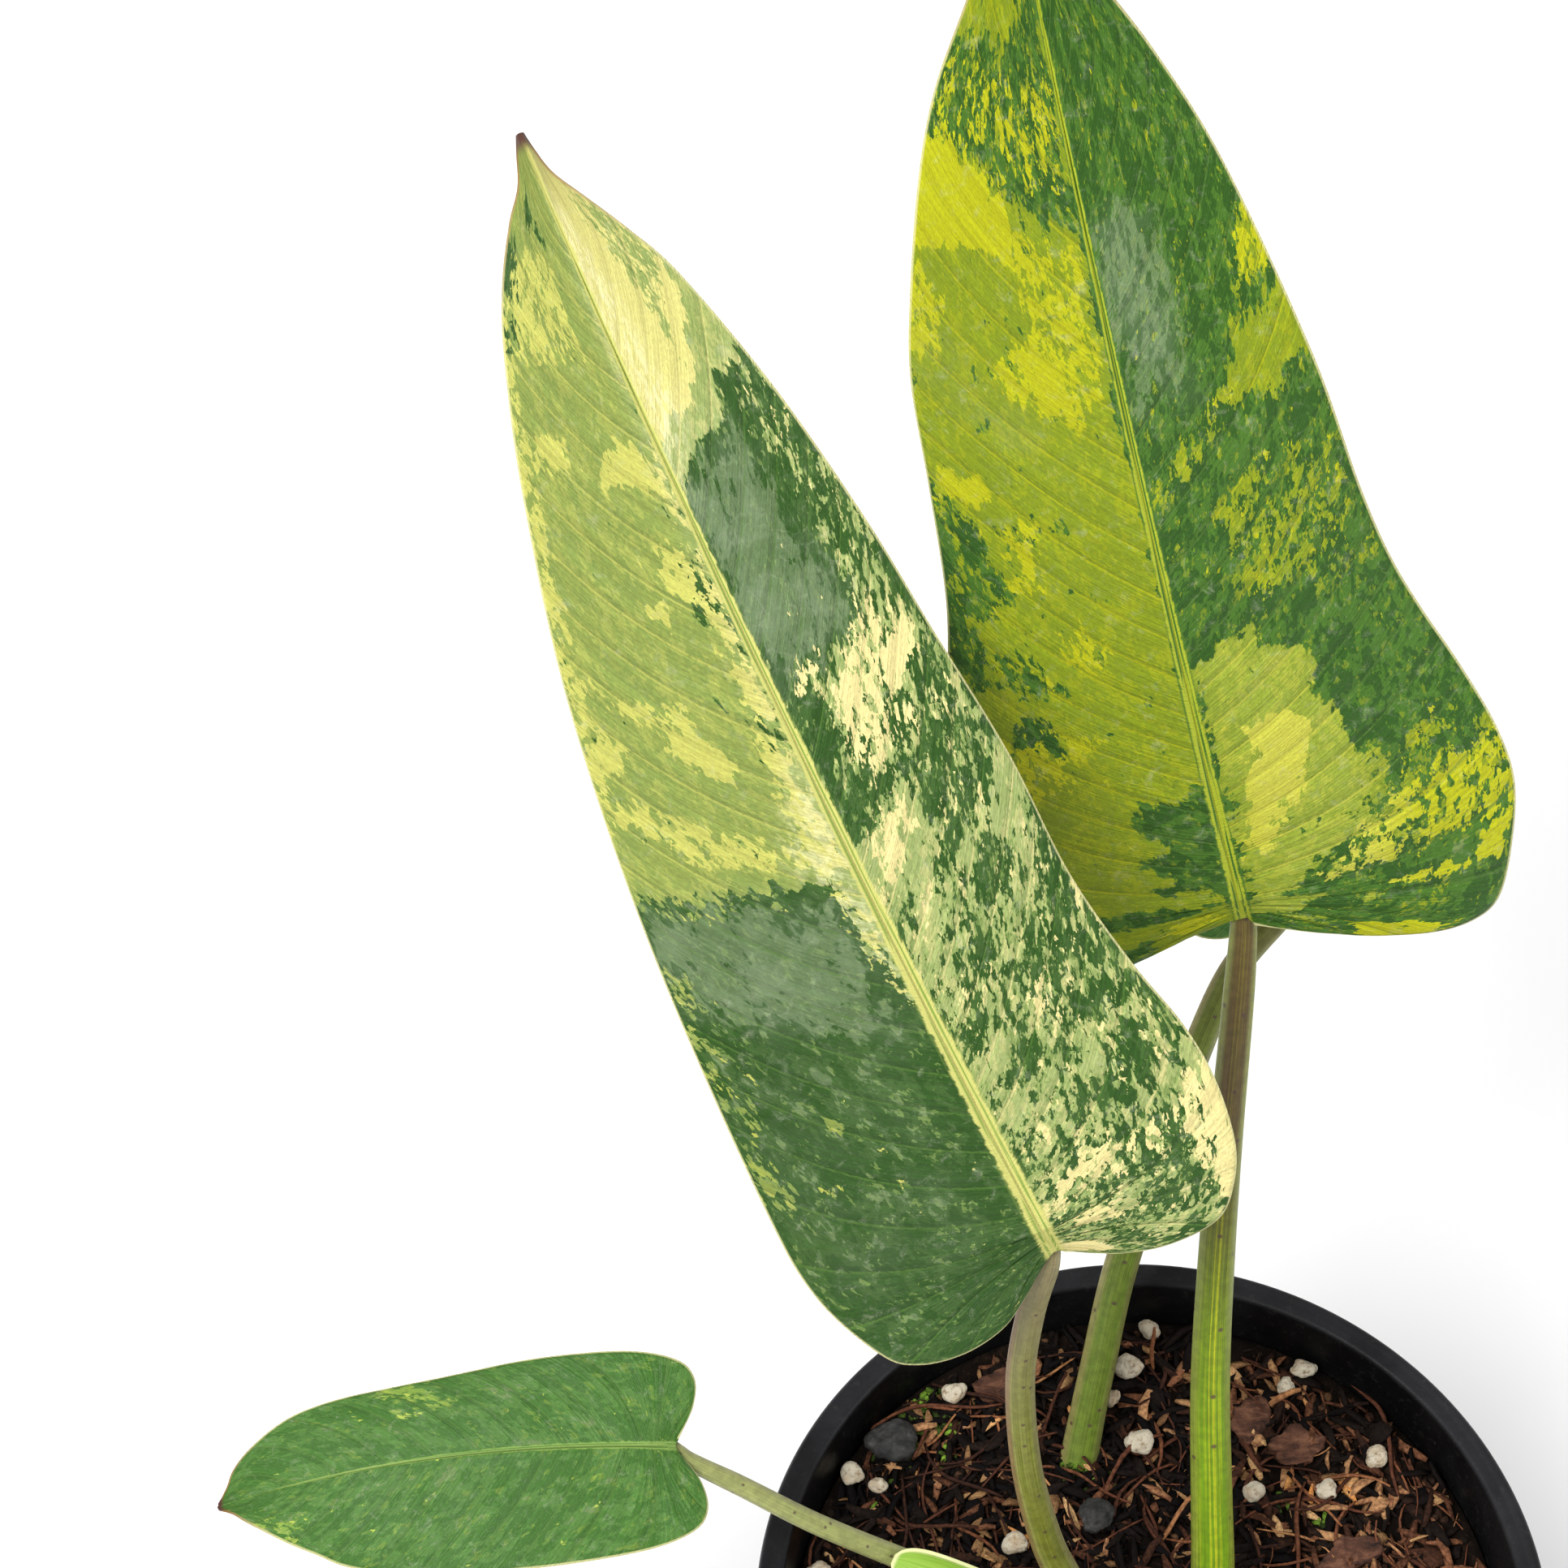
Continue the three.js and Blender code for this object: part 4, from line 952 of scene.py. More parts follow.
# %% [markdown]
# Now the sheet itself. A grid is placed vein by vein; a faint groove runs down the midrib, the main
# side veins sink a little, and the blade between them swells. Solidify gives it the thickness of a
# leaf, thinner at the margin, and the underside is pushed down along the midrib into a rounded keel.

# %% Blades: sheets with veins in relief
RIB_COLUMNS = [0.6, 1.3, 2.2, 3.4]
SIDE_VEIN_SPACING = 12
# Millimetres of leaf to one unit of its UV map, in which the right half lies apart from the left.
UV_UNIT = 100
UV_APART = 3


def column_shares(count, half_width):
    near = [0, *(c / half_width for c in RIB_COLUMNS)]
    rest = np.linspace(near[-1], 1, count - len(RIB_COLUMNS) + 1)[1:]
    return np.array([*near, *rest])


def vein_lane(share, from_rib, margin_length):
    """Which side vein a point lies on, in millimetres: above the base the veins sweep to the tip."""
    sweep = np.clip((share - 0.08) / 0.3, 0, 1)
    return share * margin_length - 0.55 * sweep * sweep * (3 - 2 * sweep) * from_rib


def make_blade(name, leaf):
    length = leaf_axes(leaf)[3]
    half_width = max(point[1] for point in leaf["left"] + leaf["right"])
    columns = leaf["columns"]
    deselect()
    bpy.ops.mesh.primitive_grid_add(x_subdivisions=2 * columns, y_subdivisions=leaf["rows"], size=2)
    piece = named("leaf_" + name)
    co = places_of(piece)
    flank = np.where(co[:, 0] < -1e-6, -1.0, 1.0)
    index = np.rint(np.abs(co[:, 0]) * columns).astype(int)
    out = column_shares(columns, half_width)[index]
    share = (co[:, 1] + 1) / 2
    x, y, lift = leaf_sheet(leaf, flank, share, out)
    margin_length = smooth_curve(leaf["right"] + [[length, TIP_HALF_WIDTH]])[1]
    rib_half = leaf["rib"] * (1 - 0.82 * np.clip(x / length, 0, 1))
    middle = leaf["sway"] * 4 * (x / length) * (1 - x / length) * (1 - out * out)
    from_rib = np.abs(y - middle)
    lane = vein_lane(share, out * half_width, margin_length) + 0.25 * flank * SIDE_VEIN_SPACING
    phase = lane / SIDE_VEIN_SPACING
    pillow = np.abs(np.sin(np.pi * phase)) ** 0.8 - 0.55
    fade = np.clip((from_rib - 1) / 8, 0, 1) * np.clip((1 - out) * 4, 0, 1)
    relief = (0.62 * pillow + 0.12 * np.sin(5 * np.pi * phase + 1)) * fade
    groove = -0.5 * np.exp(-(from_rib / (0.55 * rib_half)) ** 2) * np.clip(x / 12, 0, 1)
    ridge = 0.14 * np.exp(-((from_rib - 1.15 * rib_half) / (0.5 * rib_half)) ** 2)
    set_places(piece, leaf_place(leaf, x, y, lift + relief + groove + ridge) * MM)

    fields = paint(PATCHES[name], flank * out, share, 0.9 * half_width, margin_length)
    for field, values in fields.items():
        set_attribute(piece, field, values)
    set_attribute(piece, "from_rib", from_rib / np.maximum(rib_half, 0.2))
    margin = (1 - out) * np.hypot(x - vein_start(share, length), from_rib).clip(1) / np.maximum(out, 0.2)
    set_attribute(piece, "from_margin", margin)
    set_attribute(piece, "towards_tip", np.clip(x / length, 0, 1))
    reach = flank * out * half_width / UV_UNIT + UV_APART * (flank > 0)
    layer = piece.data.uv_layers[0] if piece.data.uv_layers else piece.data.uv_layers.new()
    layer.name = "veins"
    loops = np.zeros(len(piece.data.loops), int)
    piece.data.loops.foreach_get("vertex_index", loops)
    lanes = np.stack([reach, lane / UV_UNIT], 1)[loops]
    layer.data.foreach_set("uv", lanes.ravel())

    thin = piece.vertex_groups.new(name="thickness")
    for i, value in enumerate(np.clip(0.3 + margin / 4, 0.3, 1)):
        thin.add([i], float(value), "REPLACE")
    count = len(co)
    apply_modifier(piece, "SOLIDIFY", thickness=BLADE_THICKNESS * MM, offset=0.0,
                   vertex_group="thickness", thickness_vertex_group=0.3, use_even_offset=False)
    return piece, count, x, from_rib, rib_half


def add_keel(piece, leaf, count, x, from_rib, rib_half):
    """Pushes the underside down along the midrib into a rounded keel."""
    length = leaf_axes(leaf)[3]
    out_of_face = leaf_axes(leaf)[2]
    co = places_of(piece) / MM
    upper, lower = co[:count], co[count:2 * count]
    under = 1 if ((upper - lower) @ out_of_face).mean() > 0 else 0
    width = 1.5 * rib_half
    round_part = np.sqrt(np.clip(1 - (from_rib / width) ** 2, 0, 1))
    depth = 1.9 * rib_half * round_part * np.clip((x + 1) / 10, 0, 1) * np.clip((length - x) / 20, 0, 1)
    part = slice(count, 2 * count) if under else slice(0, count)
    co[part] -= out_of_face * depth[:, None]
    set_places(piece, co * MM)


leaves = {}
for name, leaf in BLADES.items():
    piece, *grid = make_blade(name, leaf)
    add_keel(piece, leaf, *grid)
    leaves[name] = piece
    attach(piece, "root")
    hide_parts("blade_" + name)
    report(piece)

# %% [markdown]
# The finish of a blade has three tones under a waxy skin. Dark tissue holds all its green, light tissue
# has less, and cream tissue has almost none. Each boundary is the painted field plus noise
# that is stretched along the veins, cut off sharply, so that solid patches get ragged edges and
# the undecided places break into streaks and specks.

# %% Finish: shared effects of the blades
group, group_in, group_out = new_group(
    "vein_streaks",
    [("Vector", "NodeSocketVector", None), ("Seed", "NodeSocketFloat", 0.0)],
    [("Wide", "NodeSocketFloat"), ("Fine", "NodeSocketFloat")])
seeded = times(group, group_in["Seed"], 7.31)
shift = add_node(group, "ShaderNodeCombineXYZ", X=seeded, Y=seeded, Z=seeded).outputs[0]
moved = add_node(group, "ShaderNodeVectorMath")
connect(group, group_in["Vector"], moved.inputs[0])
connect(group, shift, moved.inputs[1])
lanes = moved.outputs[0]


def centered_noise(group, lanes, scale, weight):
    layer = flat_noise(group, lanes, scale, 3.0, 0.6, 0.35)
    return times(group, maths(group, "SUBTRACT", layer, 0.5), weight)


def random_cells(group, lanes, scale, weight):
    """Every small block of tissue between two veinlets draws one value for itself."""
    cells = group.nodes.new("ShaderNodeTexVoronoi")
    cells.voronoi_dimensions = "2D"
    connect(group, stretched(group, lanes, scale), cells.inputs["Vector"])
    cells.inputs["Scale"].default_value = 1.0
    value = add_node(group, "ShaderNodeSeparateColor", Color=cells.outputs["Color"]).outputs[0]
    return times(group, maths(group, "SUBTRACT", value, 0.5), weight)


wide = maths(group, "ADD", centered_noise(group, lanes, (12, 9, 1), 9.0),
             centered_noise(group, lanes, (34, 25, 1), 7.5))
fine = maths(group, "ADD", random_cells(group, lanes, (62, 46, 1), 3.2),
             random_cells(group, lanes, (135, 95, 1), 2.0))
fine = maths(group, "ADD", fine, centered_noise(group, lanes, (52, 40, 1), 4.6))
connect(group, wide, group_out["Wide"])
connect(group, fine, group_out["Fine"])
vein_streaks = group

group, group_in, group_out = new_group(
    "ragged_patch",
    [("Field", "NodeSocketFloat", 0.0), ("Wide", "NodeSocketFloat", 0.0),
     ("Fine", "NodeSocketFloat", 0.0), ("Mottle", "NodeSocketFloat", 0.0),
     ("Blur", "NodeSocketFloat", 0.25)],
    [("Mask", "NodeSocketFloat")])
coarse = maths(group, "MULTIPLY_ADD", group_in["Wide"], 2.9, group_in["Field"])
speckle = maths(group, "MULTIPLY_ADD", group_in["Mottle"], 2.6, 0.5)
pushed = maths(group, "MULTIPLY_ADD", group_in["Fine"], speckle, coarse)
lower = times(group, group_in["Blur"], -1.0)
connect(group, remap(group, pushed, lower, group_in["Blur"]), group_out["Mask"])
ragged_patch = group

group, group_in, group_out = new_group(
    "water_marks",
    [("Vector", "NodeSocketVector", None), ("Veil", "NodeSocketFloat", 0.0)],
    [("Mask", "NodeSocketFloat")])
haze = noise(group, group_in["Vector"], 60.0, 5.0, 0.65, 0.8)
rings = group.nodes.new("ShaderNodeTexVoronoi")
rings.feature = "DISTANCE_TO_EDGE"
rings.inputs["Scale"].default_value = 115.0
warp = add_node(group, "ShaderNodeVectorMath")
warp.operation = "MULTIPLY_ADD"
cloud = group.nodes.new("ShaderNodeTexNoise")
cloud.inputs["Scale"].default_value = 140.0
connect(group, group_in["Vector"], cloud.inputs["Vector"])
connect(group, cloud.outputs["Color"], warp.inputs[0])
warp.inputs[1].default_value = (0.012, 0.012, 0.012)
connect(group, group_in["Vector"], warp.inputs[2])
connect(group, warp.outputs[0], rings.inputs["Vector"])
outline = remap(group, rings.outputs["Distance"], 0.0, 0.045, 1.0, 0.0)
gaps = remap(group, noise(group, group_in["Vector"], 200.0, 2.0), 0.5, 0.62)
outline = times(group, outline, gaps)
haze = remap(group, haze, 0.36, 0.72)
marks = maths(group, "MULTIPLY_ADD", outline, 0.5, haze)
connect(group, times(group, marks, group_in["Veil"]), group_out["Mask"])
water_marks = group
print("shared effects:", vein_streaks.name, ragged_patch.name, water_marks.name)

# %% [markdown]
# One recipe serves all four blades, with each leaf's own tones. The back leaf is yellower, the front one
# paler and dustier, and the two plain leaves are green nearly all over. The midrib is pale
# with thin green lines, and the margin ends in a hair-thin pale edge. Light is painted in as
# well: a grey-green painted sheen lies with the dust over parts of the dark tissue, most on the
# front leaf, and each side vein gets a thin painted shadow on one side and a lighter band on the other.

# %% Finish: blades


def leaf_finish(name, seed, dark, dark_fresh, middle, light_cool, light_warm, cream_cool,
                cream_warm, rib, rib_line, line_share):
    material, tree, shader = new_material(name, 0.42, 0.2)
    lanes = add_node(tree, "ShaderNodeUVMap")
    lanes.uv_map = "veins"
    lanes = lanes.outputs["UV"]
    place = object_place(tree)
    field = {key: attribute(tree, key) for key in FIELD_START}
    streaks = [use_group(tree, vein_streaks, Vector=lanes, Seed=seed + k) for k in range(3)]

    def patch(value, wide, fine, mottle=field["mottle"], blur=0.25):
        masks = use_group(tree, ragged_patch, Field=value, Wide=wide, Fine=fine, Mottle=mottle,
                          Blur=blur)
        return masks["Mask"]

    middle_mask = patch(field["light"], streaks[0]["Wide"], streaks[0]["Fine"])
    both = times(tree, streaks[0]["Fine"], 0.7)
    both = maths(tree, "MULTIPLY_ADD", streaks[1]["Fine"], 0.5, both)
    light_mask = patch(maths(tree, "SUBTRACT", field["light"], 1.5), streaks[0]["Wide"], both)
    cream_mask = patch(field["cream"], streaks[2]["Wide"], streaks[2]["Fine"])
    shade_mask = patch(0.0, streaks[1]["Wide"], streaks[1]["Fine"], 0.15, 0.6)
    dark_tone = mix_colors(tree, shade_mask, dark, dark_fresh)
    light_tone = mix_colors(tree, field["warm"], light_cool, light_warm)
    light_tone = mix_colors(tree, times(tree, shade_mask, 0.3), light_tone, middle)
    cream_tone = mix_colors(tree, field["warm"], cream_cool, cream_warm)
    glow_mask = patch(-1.6, streaks[2]["Wide"], streaks[1]["Fine"], 0.7, 0.5)
    light_tone = mix_colors(tree, times(tree, glow_mask, 0.3), light_tone, cream_tone)
    fleck = maths(tree, "MULTIPLY_ADD", streaks[1]["Wide"], 0.4, streaks[2]["Fine"])
    fleck = remap(tree, fleck, 1.75, 1.95)
    dark_tone = mix_colors(tree, times(tree, fleck, 0.75), dark_tone, middle)
    # Painted sheen with dust: where this field is high, dark tissue is greyed towards a grey green, the
    # soft reflection of the waxy skin painted in together with a film of dust.
    dust_and_sheen = maths(tree, "MULTIPLY_ADD", field["sheen_veil"], 16.0, -8.0)
    dust_and_sheen_mask = patch(dust_and_sheen, streaks[1]["Wide"], streaks[2]["Fine"], 0.25, 1.0)
    dark_tone = mix_colors(tree, times(tree, dust_and_sheen_mask, 0.52), dark_tone, (0.13, 0.185, 0.085))
    color = mix_colors(tree, middle_mask, dark_tone, mix_colors(tree, 0.35, middle, light_tone))
    color = mix_colors(tree, light_mask, color, light_tone)
    color = mix_colors(tree, cream_mask, color, cream_tone)
    pale = times(tree, field["pale"], remap(tree, streaks[1]["Fine"], -1.6, 1.6, 0.1, 0.95))
    color = mix_colors(tree, times(tree, pale, middle_mask), color, (0.78, 0.74, 0.46))

    tissue = flat_noise(tree, lanes, (90, 170, 1), 4.0, 0.65)
    color = shaded(tree, color, remap(tree, tissue, 0.3, 0.7, 0.86, 1.12))
    lane_lines = flat_noise(tree, lanes, (4, 150, 1), 1.0, 0.4)
    color = shaded(tree, color, remap(tree, lane_lines, 0.35, 0.7, 0.93, 1.12))
    lane = add_node(tree, "ShaderNodeSeparateXYZ", Vector=lanes).outputs["Y"]
    phase = maths(tree, "FRACT", maths(tree, "MULTIPLY_ADD", lane, UV_UNIT / SIDE_VEIN_SPACING, 0.5))
    signed = maths(tree, "SUBTRACT", phase, 0.5)
    beside = maths(tree, "ABSOLUTE", signed)
    # Painted light and shade across each side vein: a slightly lighter band before the vein and a thin
    # painted shadow after it, as light would fall across folds of the blade.
    fold = times(tree, remap(tree, signed, 0.0, 0.04), remap(tree, signed, 0.04, 0.3, 0.17, 0.0))
    sunlit = remap(tree, signed, -0.4, 0.0, 0.99, 1.05)
    color = shaded(tree, color, maths(tree, "SUBTRACT", sunlit, fold))
    vein = times(tree, remap(tree, beside, 0.0, 0.05, 0.7, 0.0), remap(tree, tissue, 0.3, 0.5))
    vein_tone = mix_colors(tree, middle_mask, (0.065, 0.14, 0.02), cream_tone)
    color = mix_colors(tree, vein, color, vein_tone)

    marks = use_group(tree, water_marks, Vector=place, Veil=field["sheen_veil"])["Mask"]
    color = mix_colors(tree, times(tree, marks, 0.3), color, (0.34, 0.40, 0.27))
    dust = use_group(tree, dust_smudges, Vector=place, Size=330.0, Amount=0.12)["Mask"]
    color = mix_colors(tree, times(tree, dust, 0.3), color, (0.5, 0.52, 0.38))

    from_rib = attribute(tree, "from_rib")
    wander = maths(tree, "MULTIPLY_ADD", streaks[1]["Fine"], 0.07, from_rib)
    on_rib = remap(tree, wander, 0.8, 1.15, 1.0, 0.0)
    rib_lines = flat_noise(tree, lanes, (160, 3, 1), 2.0, 0.5)
    inner_line = remap(tree, distance(tree, from_rib, 0.48), 0.06, 0.24, 1.0, 0.0)
    outer_line = remap(tree, distance(tree, from_rib, 1.12), 0.05, 0.2, 1.0, 0.0)
    broken = remap(tree, rib_lines, 0.38, 0.52)
    rib_tone = mix_colors(tree, times(tree, inner_line, broken), rib, rib_line)
    color = mix_colors(tree, on_rib, color, rib_tone)
    outer_line = times(tree, outer_line, times(tree, broken, line_share))
    color = mix_colors(tree, outer_line, color, rib_line)
    margin = remap(tree, attribute(tree, "from_margin"), 0.2, 0.6, 1.0, 0.0)
    margin_tone = mix_colors(tree, remap(tree, attribute(tree, "towards_tip"), 0.85, 1.0),
                             (0.6, 0.57, 0.27), (0.30, 0.13, 0.05))
    color = mix_colors(tree, times(tree, margin, 0.8), color, margin_tone)
    dry = remap(tree, attribute(tree, "towards_tip"), 0.984, 0.996)
    color = mix_colors(tree, dry, color, (0.11, 0.05, 0.035))
    connect(tree, color, shader.inputs["Base Color"])
    rough = remap(tree, noise(tree, place, 70.0, 4.0), 0.3, 0.7, 0.36, 0.5)
    connect(tree, maths(tree, "MULTIPLY_ADD", marks, 0.25, rough), shader.inputs["Roughness"])
    pores = flat_noise(tree, lanes, (160, 260, 1), 2.0, 0.6)
    bump(tree, shader, maths(tree, "MULTIPLY_ADD", lane_lines, 1.6, pores), 0.0002, 0.8)
    return material


leaf_front = leaf_finish(
    "front_leaf_skin", 1.0, dark=(0.019, 0.062, 0.006), dark_fresh=(0.034, 0.083, 0.014),
    middle=(0.13, 0.20, 0.045), light_cool=(0.28, 0.335, 0.115), light_warm=(0.172, 0.222, 0.030),
    cream_cool=(0.62, 0.535, 0.235), cream_warm=(0.34, 0.37, 0.042),
    rib=(0.50, 0.49, 0.14), rib_line=(0.20, 0.28, 0.05), line_share=0.25)
leaf_back = leaf_finish(
    "back_leaf_skin", 5.0, dark=(0.021, 0.073, 0.005), dark_fresh=(0.046, 0.122, 0.010),
    middle=(0.14, 0.20, 0.008), light_cool=(0.24, 0.30, 0.03), light_warm=(0.175, 0.23, 0.004),
    cream_cool=(0.45, 0.44, 0.055), cream_warm=(0.35, 0.36, 0.002),
    rib=(0.33, 0.38, 0.02), rib_line=(0.04, 0.12, 0.012), line_share=0.75)
leaf_green = leaf_finish(
    "green_leaf_skin", 9.0, dark=(0.038, 0.115, 0.014), dark_fresh=(0.06, 0.15, 0.025),
    middle=(0.11, 0.19, 0.025), light_cool=(0.16, 0.26, 0.04), light_warm=(0.17, 0.27, 0.04),
    cream_cool=(0.33, 0.4, 0.06), cream_warm=(0.33, 0.4, 0.06),
    rib=(0.2, 0.31, 0.07), rib_line=(0.07, 0.17, 0.03), line_share=0.3)
leaf_skins = {
    "front": (leaf_front, "leaf_variegated"), "back": (leaf_back, "leaf_variegated"),
    "rear": (leaf_green, "leaf_green"), "low": (leaf_green, "leaf_green"),
}
for name, (material, slot) in leaf_skins.items():
    dress(leaves[name], material)
print("leaf finishes:", {name: material.name for name, (material, _) in leaf_skins.items()})

# %% [markdown]
# Stalk tubes are now carried along their courses, with ribs so fine that only the light
# shows them. At the foot a stalk swells a little and clasps the stem; at the top it narrows
# and goes under the leaf, where the keel takes over.

# %% Stalks: tubes carried along their courses
SLIM = {"front": 0.9, "back": 0.95, "rear": 0.88, "low": 1.0}
# Where the tube runs on under the blade: share of the leaf's length, and drop in millimetres
# for a stalk of the radius given here.
KEEL_POINTS = ((0.04, 3.6), (0.16, 3.0), (0.24, 2.4))
KEEL_RADIUS = 3.7
stalk_pieces = {}
for name, stalk in STALKS.items():
    blade = BLADES[name]
    keel = []
    for share, drop in KEEL_POINTS:
        x, y, lift = leaf_sheet(blade, np.array([1.0]), np.array([share]), np.array([0.0]))
        below = lift - drop * stalk["radii"][2] / KEEL_RADIUS
        keel.append(list(leaf_place(blade, x, y, below)[0]))
    path = stalk["path"] + keel
    course, total = smooth_curve(path)
    taper = np.array(stalk["radii"])
    reach = smooth_curve(stalk["path"])[1] / total

    def radii(share, angle, taper=taper, reach=reach, slim=SLIM[name]):
        body = np.interp(share / reach, [0, 0.5, 1], taper)
        foot = 1 + 0.12 * np.exp(-share / 0.04)
        neck = np.interp(share, [0.93 * reach, reach, 1], [1, 0.92, 0.45])
        ribs = 1 + 0.012 * np.cos(9 * angle) + 0.008 * np.cos(14 * angle + 2)
        return body * foot * neck * ribs * slim

    piece, share, angle = tube("stalk_" + name, course, radii, stalk["flat"], STALK_SIDES,
                               STALK_STEPS)
    set_attribute(piece, "around", angle)
    set_attribute(piece, "up", share)
    stalk_pieces[name] = piece
    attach(piece, "root")
    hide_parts("petiole_" + name)
    report(piece)

# %% [markdown]
# A stalk is green with lengthwise lines of yellow and cream, its tone changing from foot to
# top, and dotted with small dark flecks. Painted light and shade: one side of the tube is
# painted in a lighter tone and the other in a darker one. The angle round the stalk and the share of
# its length are stored on the mesh, so the lines stay straight however the stalk bends.

# %% Finish: striped stalks


def stalk_finish(name, seed, low_tone, high_tone, left_painted_light, right_painted_light, stripe_tone, stripes,
                 top_at):
    """Stripes are (angle round the stalk, half width, strength); top_at is where the tones meet."""
    material, tree, shader = new_material(name, 0.44, 0.3)
    around = attribute(tree, "around")
    up = attribute(tree, "up")
    lanes = add_node(tree, "ShaderNodeCombineXYZ", X=times(tree, around, 5.0),
                     Y=times(tree, up, 2.4), Z=seed).outputs[0]
    lines = noise(tree, lanes, 1.0, 3.0, 0.6)
    hair = noise(tree, stretched(tree, lanes, (4, 2, 1)), 1.0, 2.0, 0.6)
    color = mix_colors(tree, remap(tree, up, top_at - 0.22, top_at + 0.22), low_tone, high_tone)
    young = remap(tree, up, top_at - 0.22, top_at + 0.22, 1.0, 0.15)
    faint_lines = times(tree, young, remap(tree, lines, 0.42, 0.66, 0.0, 0.32))
    color = mix_colors(tree, faint_lines, color, stripe_tone)
    # Painted light and shade: one side of the stalk is mixed towards a lighter tone, the other towards a
    # darker one.
    side = maths(tree, "SINE", around)
    color = mix_colors(tree, remap(tree, side, -0.95, -0.5, 0.8, 0.0), color, left_painted_light)
    color = mix_colors(tree, remap(tree, side, 0.5, 0.95, 0.0, 0.8), color, right_painted_light)
    for center, width, strength in stripes:
        mark = remap(tree, distance(tree, around, center), 0.0, width, strength, 0.0)
        mark = times(tree, mark, remap(tree, hair, 0.3, 0.6, 0.45, 1.0))
        mark = times(tree, mark, young)
        color = mix_colors(tree, mark, color, stripe_tone)
    mottle = noise(tree, object_place(tree), 420.0, 4.0, 0.65)
    mottle = remap(tree, mottle, 0.35, 0.65, 0.86, 1.12)
    color = shaded(tree, color, times(tree, remap(tree, hair, 0.3, 0.7, 0.74, 1.16), mottle))
    rolled = add_node(tree, "ShaderNodeCombineXYZ", X=times(tree, around, 0.55),
                      Y=times(tree, up, 30.0)).outputs[0]
    flecks = tree.nodes.new("ShaderNodeTexVoronoi")
    flecks.voronoi_dimensions = "2D"
    flecks.inputs["Scale"].default_value = 1.0
    connect(tree, rolled, flecks.inputs["Vector"])
    chosen = add_node(tree, "ShaderNodeSeparateColor", Color=flecks.outputs["Color"]).outputs[0]
    chosen = remap(tree, chosen, 0.45, 0.47)
    fleck = times(tree, remap(tree, flecks.outputs["Distance"], 0.05, 0.11, 1.0, 0.0), chosen)
    color = mix_colors(tree, times(tree, fleck, 0.8), color, (0.07, 0.035, 0.03))
    connect(tree, color, shader.inputs["Base Color"])
    connect(tree, remap(tree, lines, 0.3, 0.7, 0.38, 0.52), shader.inputs["Roughness"])
    bump(tree, shader, maths(tree, "MULTIPLY_ADD", hair, 0.6, lines), 0.0002, 0.8)
    return material


stalk_skins = {
    "front": stalk_finish(
        "front_stalk_skin", 1.0, low_tone=(0.15, 0.165, 0.02), high_tone=(0.20, 0.165, 0.075),
        left_painted_light=(0.24, 0.215, 0.10), right_painted_light=(0.20, 0.11, 0.05), stripe_tone=(0.28, 0.29, 0.08),
        stripes=[(0.75, 0.16, 0.5)], top_at=0.72),
    "back": stalk_finish(
        "back_stalk_skin", 2.0, low_tone=(0.125, 0.235, 0.001), high_tone=(0.095, 0.062, 0.018),
        left_painted_light=(0.22, 0.25, 0.035), right_painted_light=(0.19, 0.22, 0.035), stripe_tone=(0.46, 0.46, 0.01),
        stripes=[(-0.08, 0.11, 0.85), (0.16, 0.07, 0.75), (-0.34, 0.06, 0.4)], top_at=0.5),
    "rear": stalk_finish(
        "rear_stalk_skin", 3.0, low_tone=(0.11, 0.165, 0.015), high_tone=(0.13, 0.12, 0.03),
        left_painted_light=(0.20, 0.20, 0.06), right_painted_light=(0.28, 0.24, 0.09), stripe_tone=(0.20, 0.25, 0.04),
        stripes=[], top_at=0.75),
    "low": stalk_finish(
        "low_stalk_skin", 4.0, low_tone=(0.22, 0.24, 0.07), high_tone=(0.25, 0.27, 0.09),
        left_painted_light=(0.28, 0.28, 0.13), right_painted_light=(0.22, 0.22, 0.09), stripe_tone=(0.34, 0.36, 0.14),
        stripes=[(0.3, 0.12, 0.5)], top_at=0.6),
}
for name, piece in stalk_pieces.items():
    dress(piece, stalk_skins[name])
print("stalk finishes:", {name: skin.name for name, skin in stalk_skins.items()})

# %% [markdown]
# A sheath once wrapped the newest growth. It is a thin boat, open upwards, that
# rides over the low leaf's stalk and ends in a round tip with a pale rim. A grid is
# rolled round the stalk's course, closed by Solidify and rounded by Bevel.

# %% Sheath
SHEATH = {"from": 0.24, "to": 0.6, "clear": 0.5, "thickness": 0.8, "bevel": 0.25, "radius": 6.2,
          "spread": 1.25, "rise": 1.2, "tip_from": 0.74, "tip_width": 0.14, "columns": 28, "rows": 60}

deselect()
bpy.ops.mesh.primitive_grid_add(x_subdivisions=SHEATH["columns"], y_subdivisions=SHEATH["rows"], size=2)
sheath = named("sheath")
co = places_of(sheath)
share = (co[:, 1] + 1) / 2
low_course, _ = smooth_curve(STALKS["low"]["path"])
reach = SHEATH["from"] + (SHEATH["to"] - SHEATH["from"]) * share
center = low_course(reach)
ahead = low_course(reach + 1e-3) - low_course(reach - 1e-3)
ahead /= np.linalg.norm(ahead, axis=1)[:, None]
side = np.cross(np.array([0, -0.6, 0.8]), ahead)
side /= np.linalg.norm(side, axis=1)[:, None]
up = np.cross(ahead, side)
up *= np.sign(up[:, 2:3])
tip = np.maximum(0, (share - SHEATH["tip_from"]) / (1 - SHEATH["tip_from"]))
width = np.maximum(SHEATH["tip_width"], np.sqrt(1 - tip * tip))
angle = co[:, 0] * SHEATH["spread"] * width
stalk_radius = np.interp(reach, [0, 0.5, 1], STALKS["low"]["radii"])
lift = stalk_radius + SHEATH["clear"] + SHEATH["thickness"] / 2 + SHEATH["rise"] * share
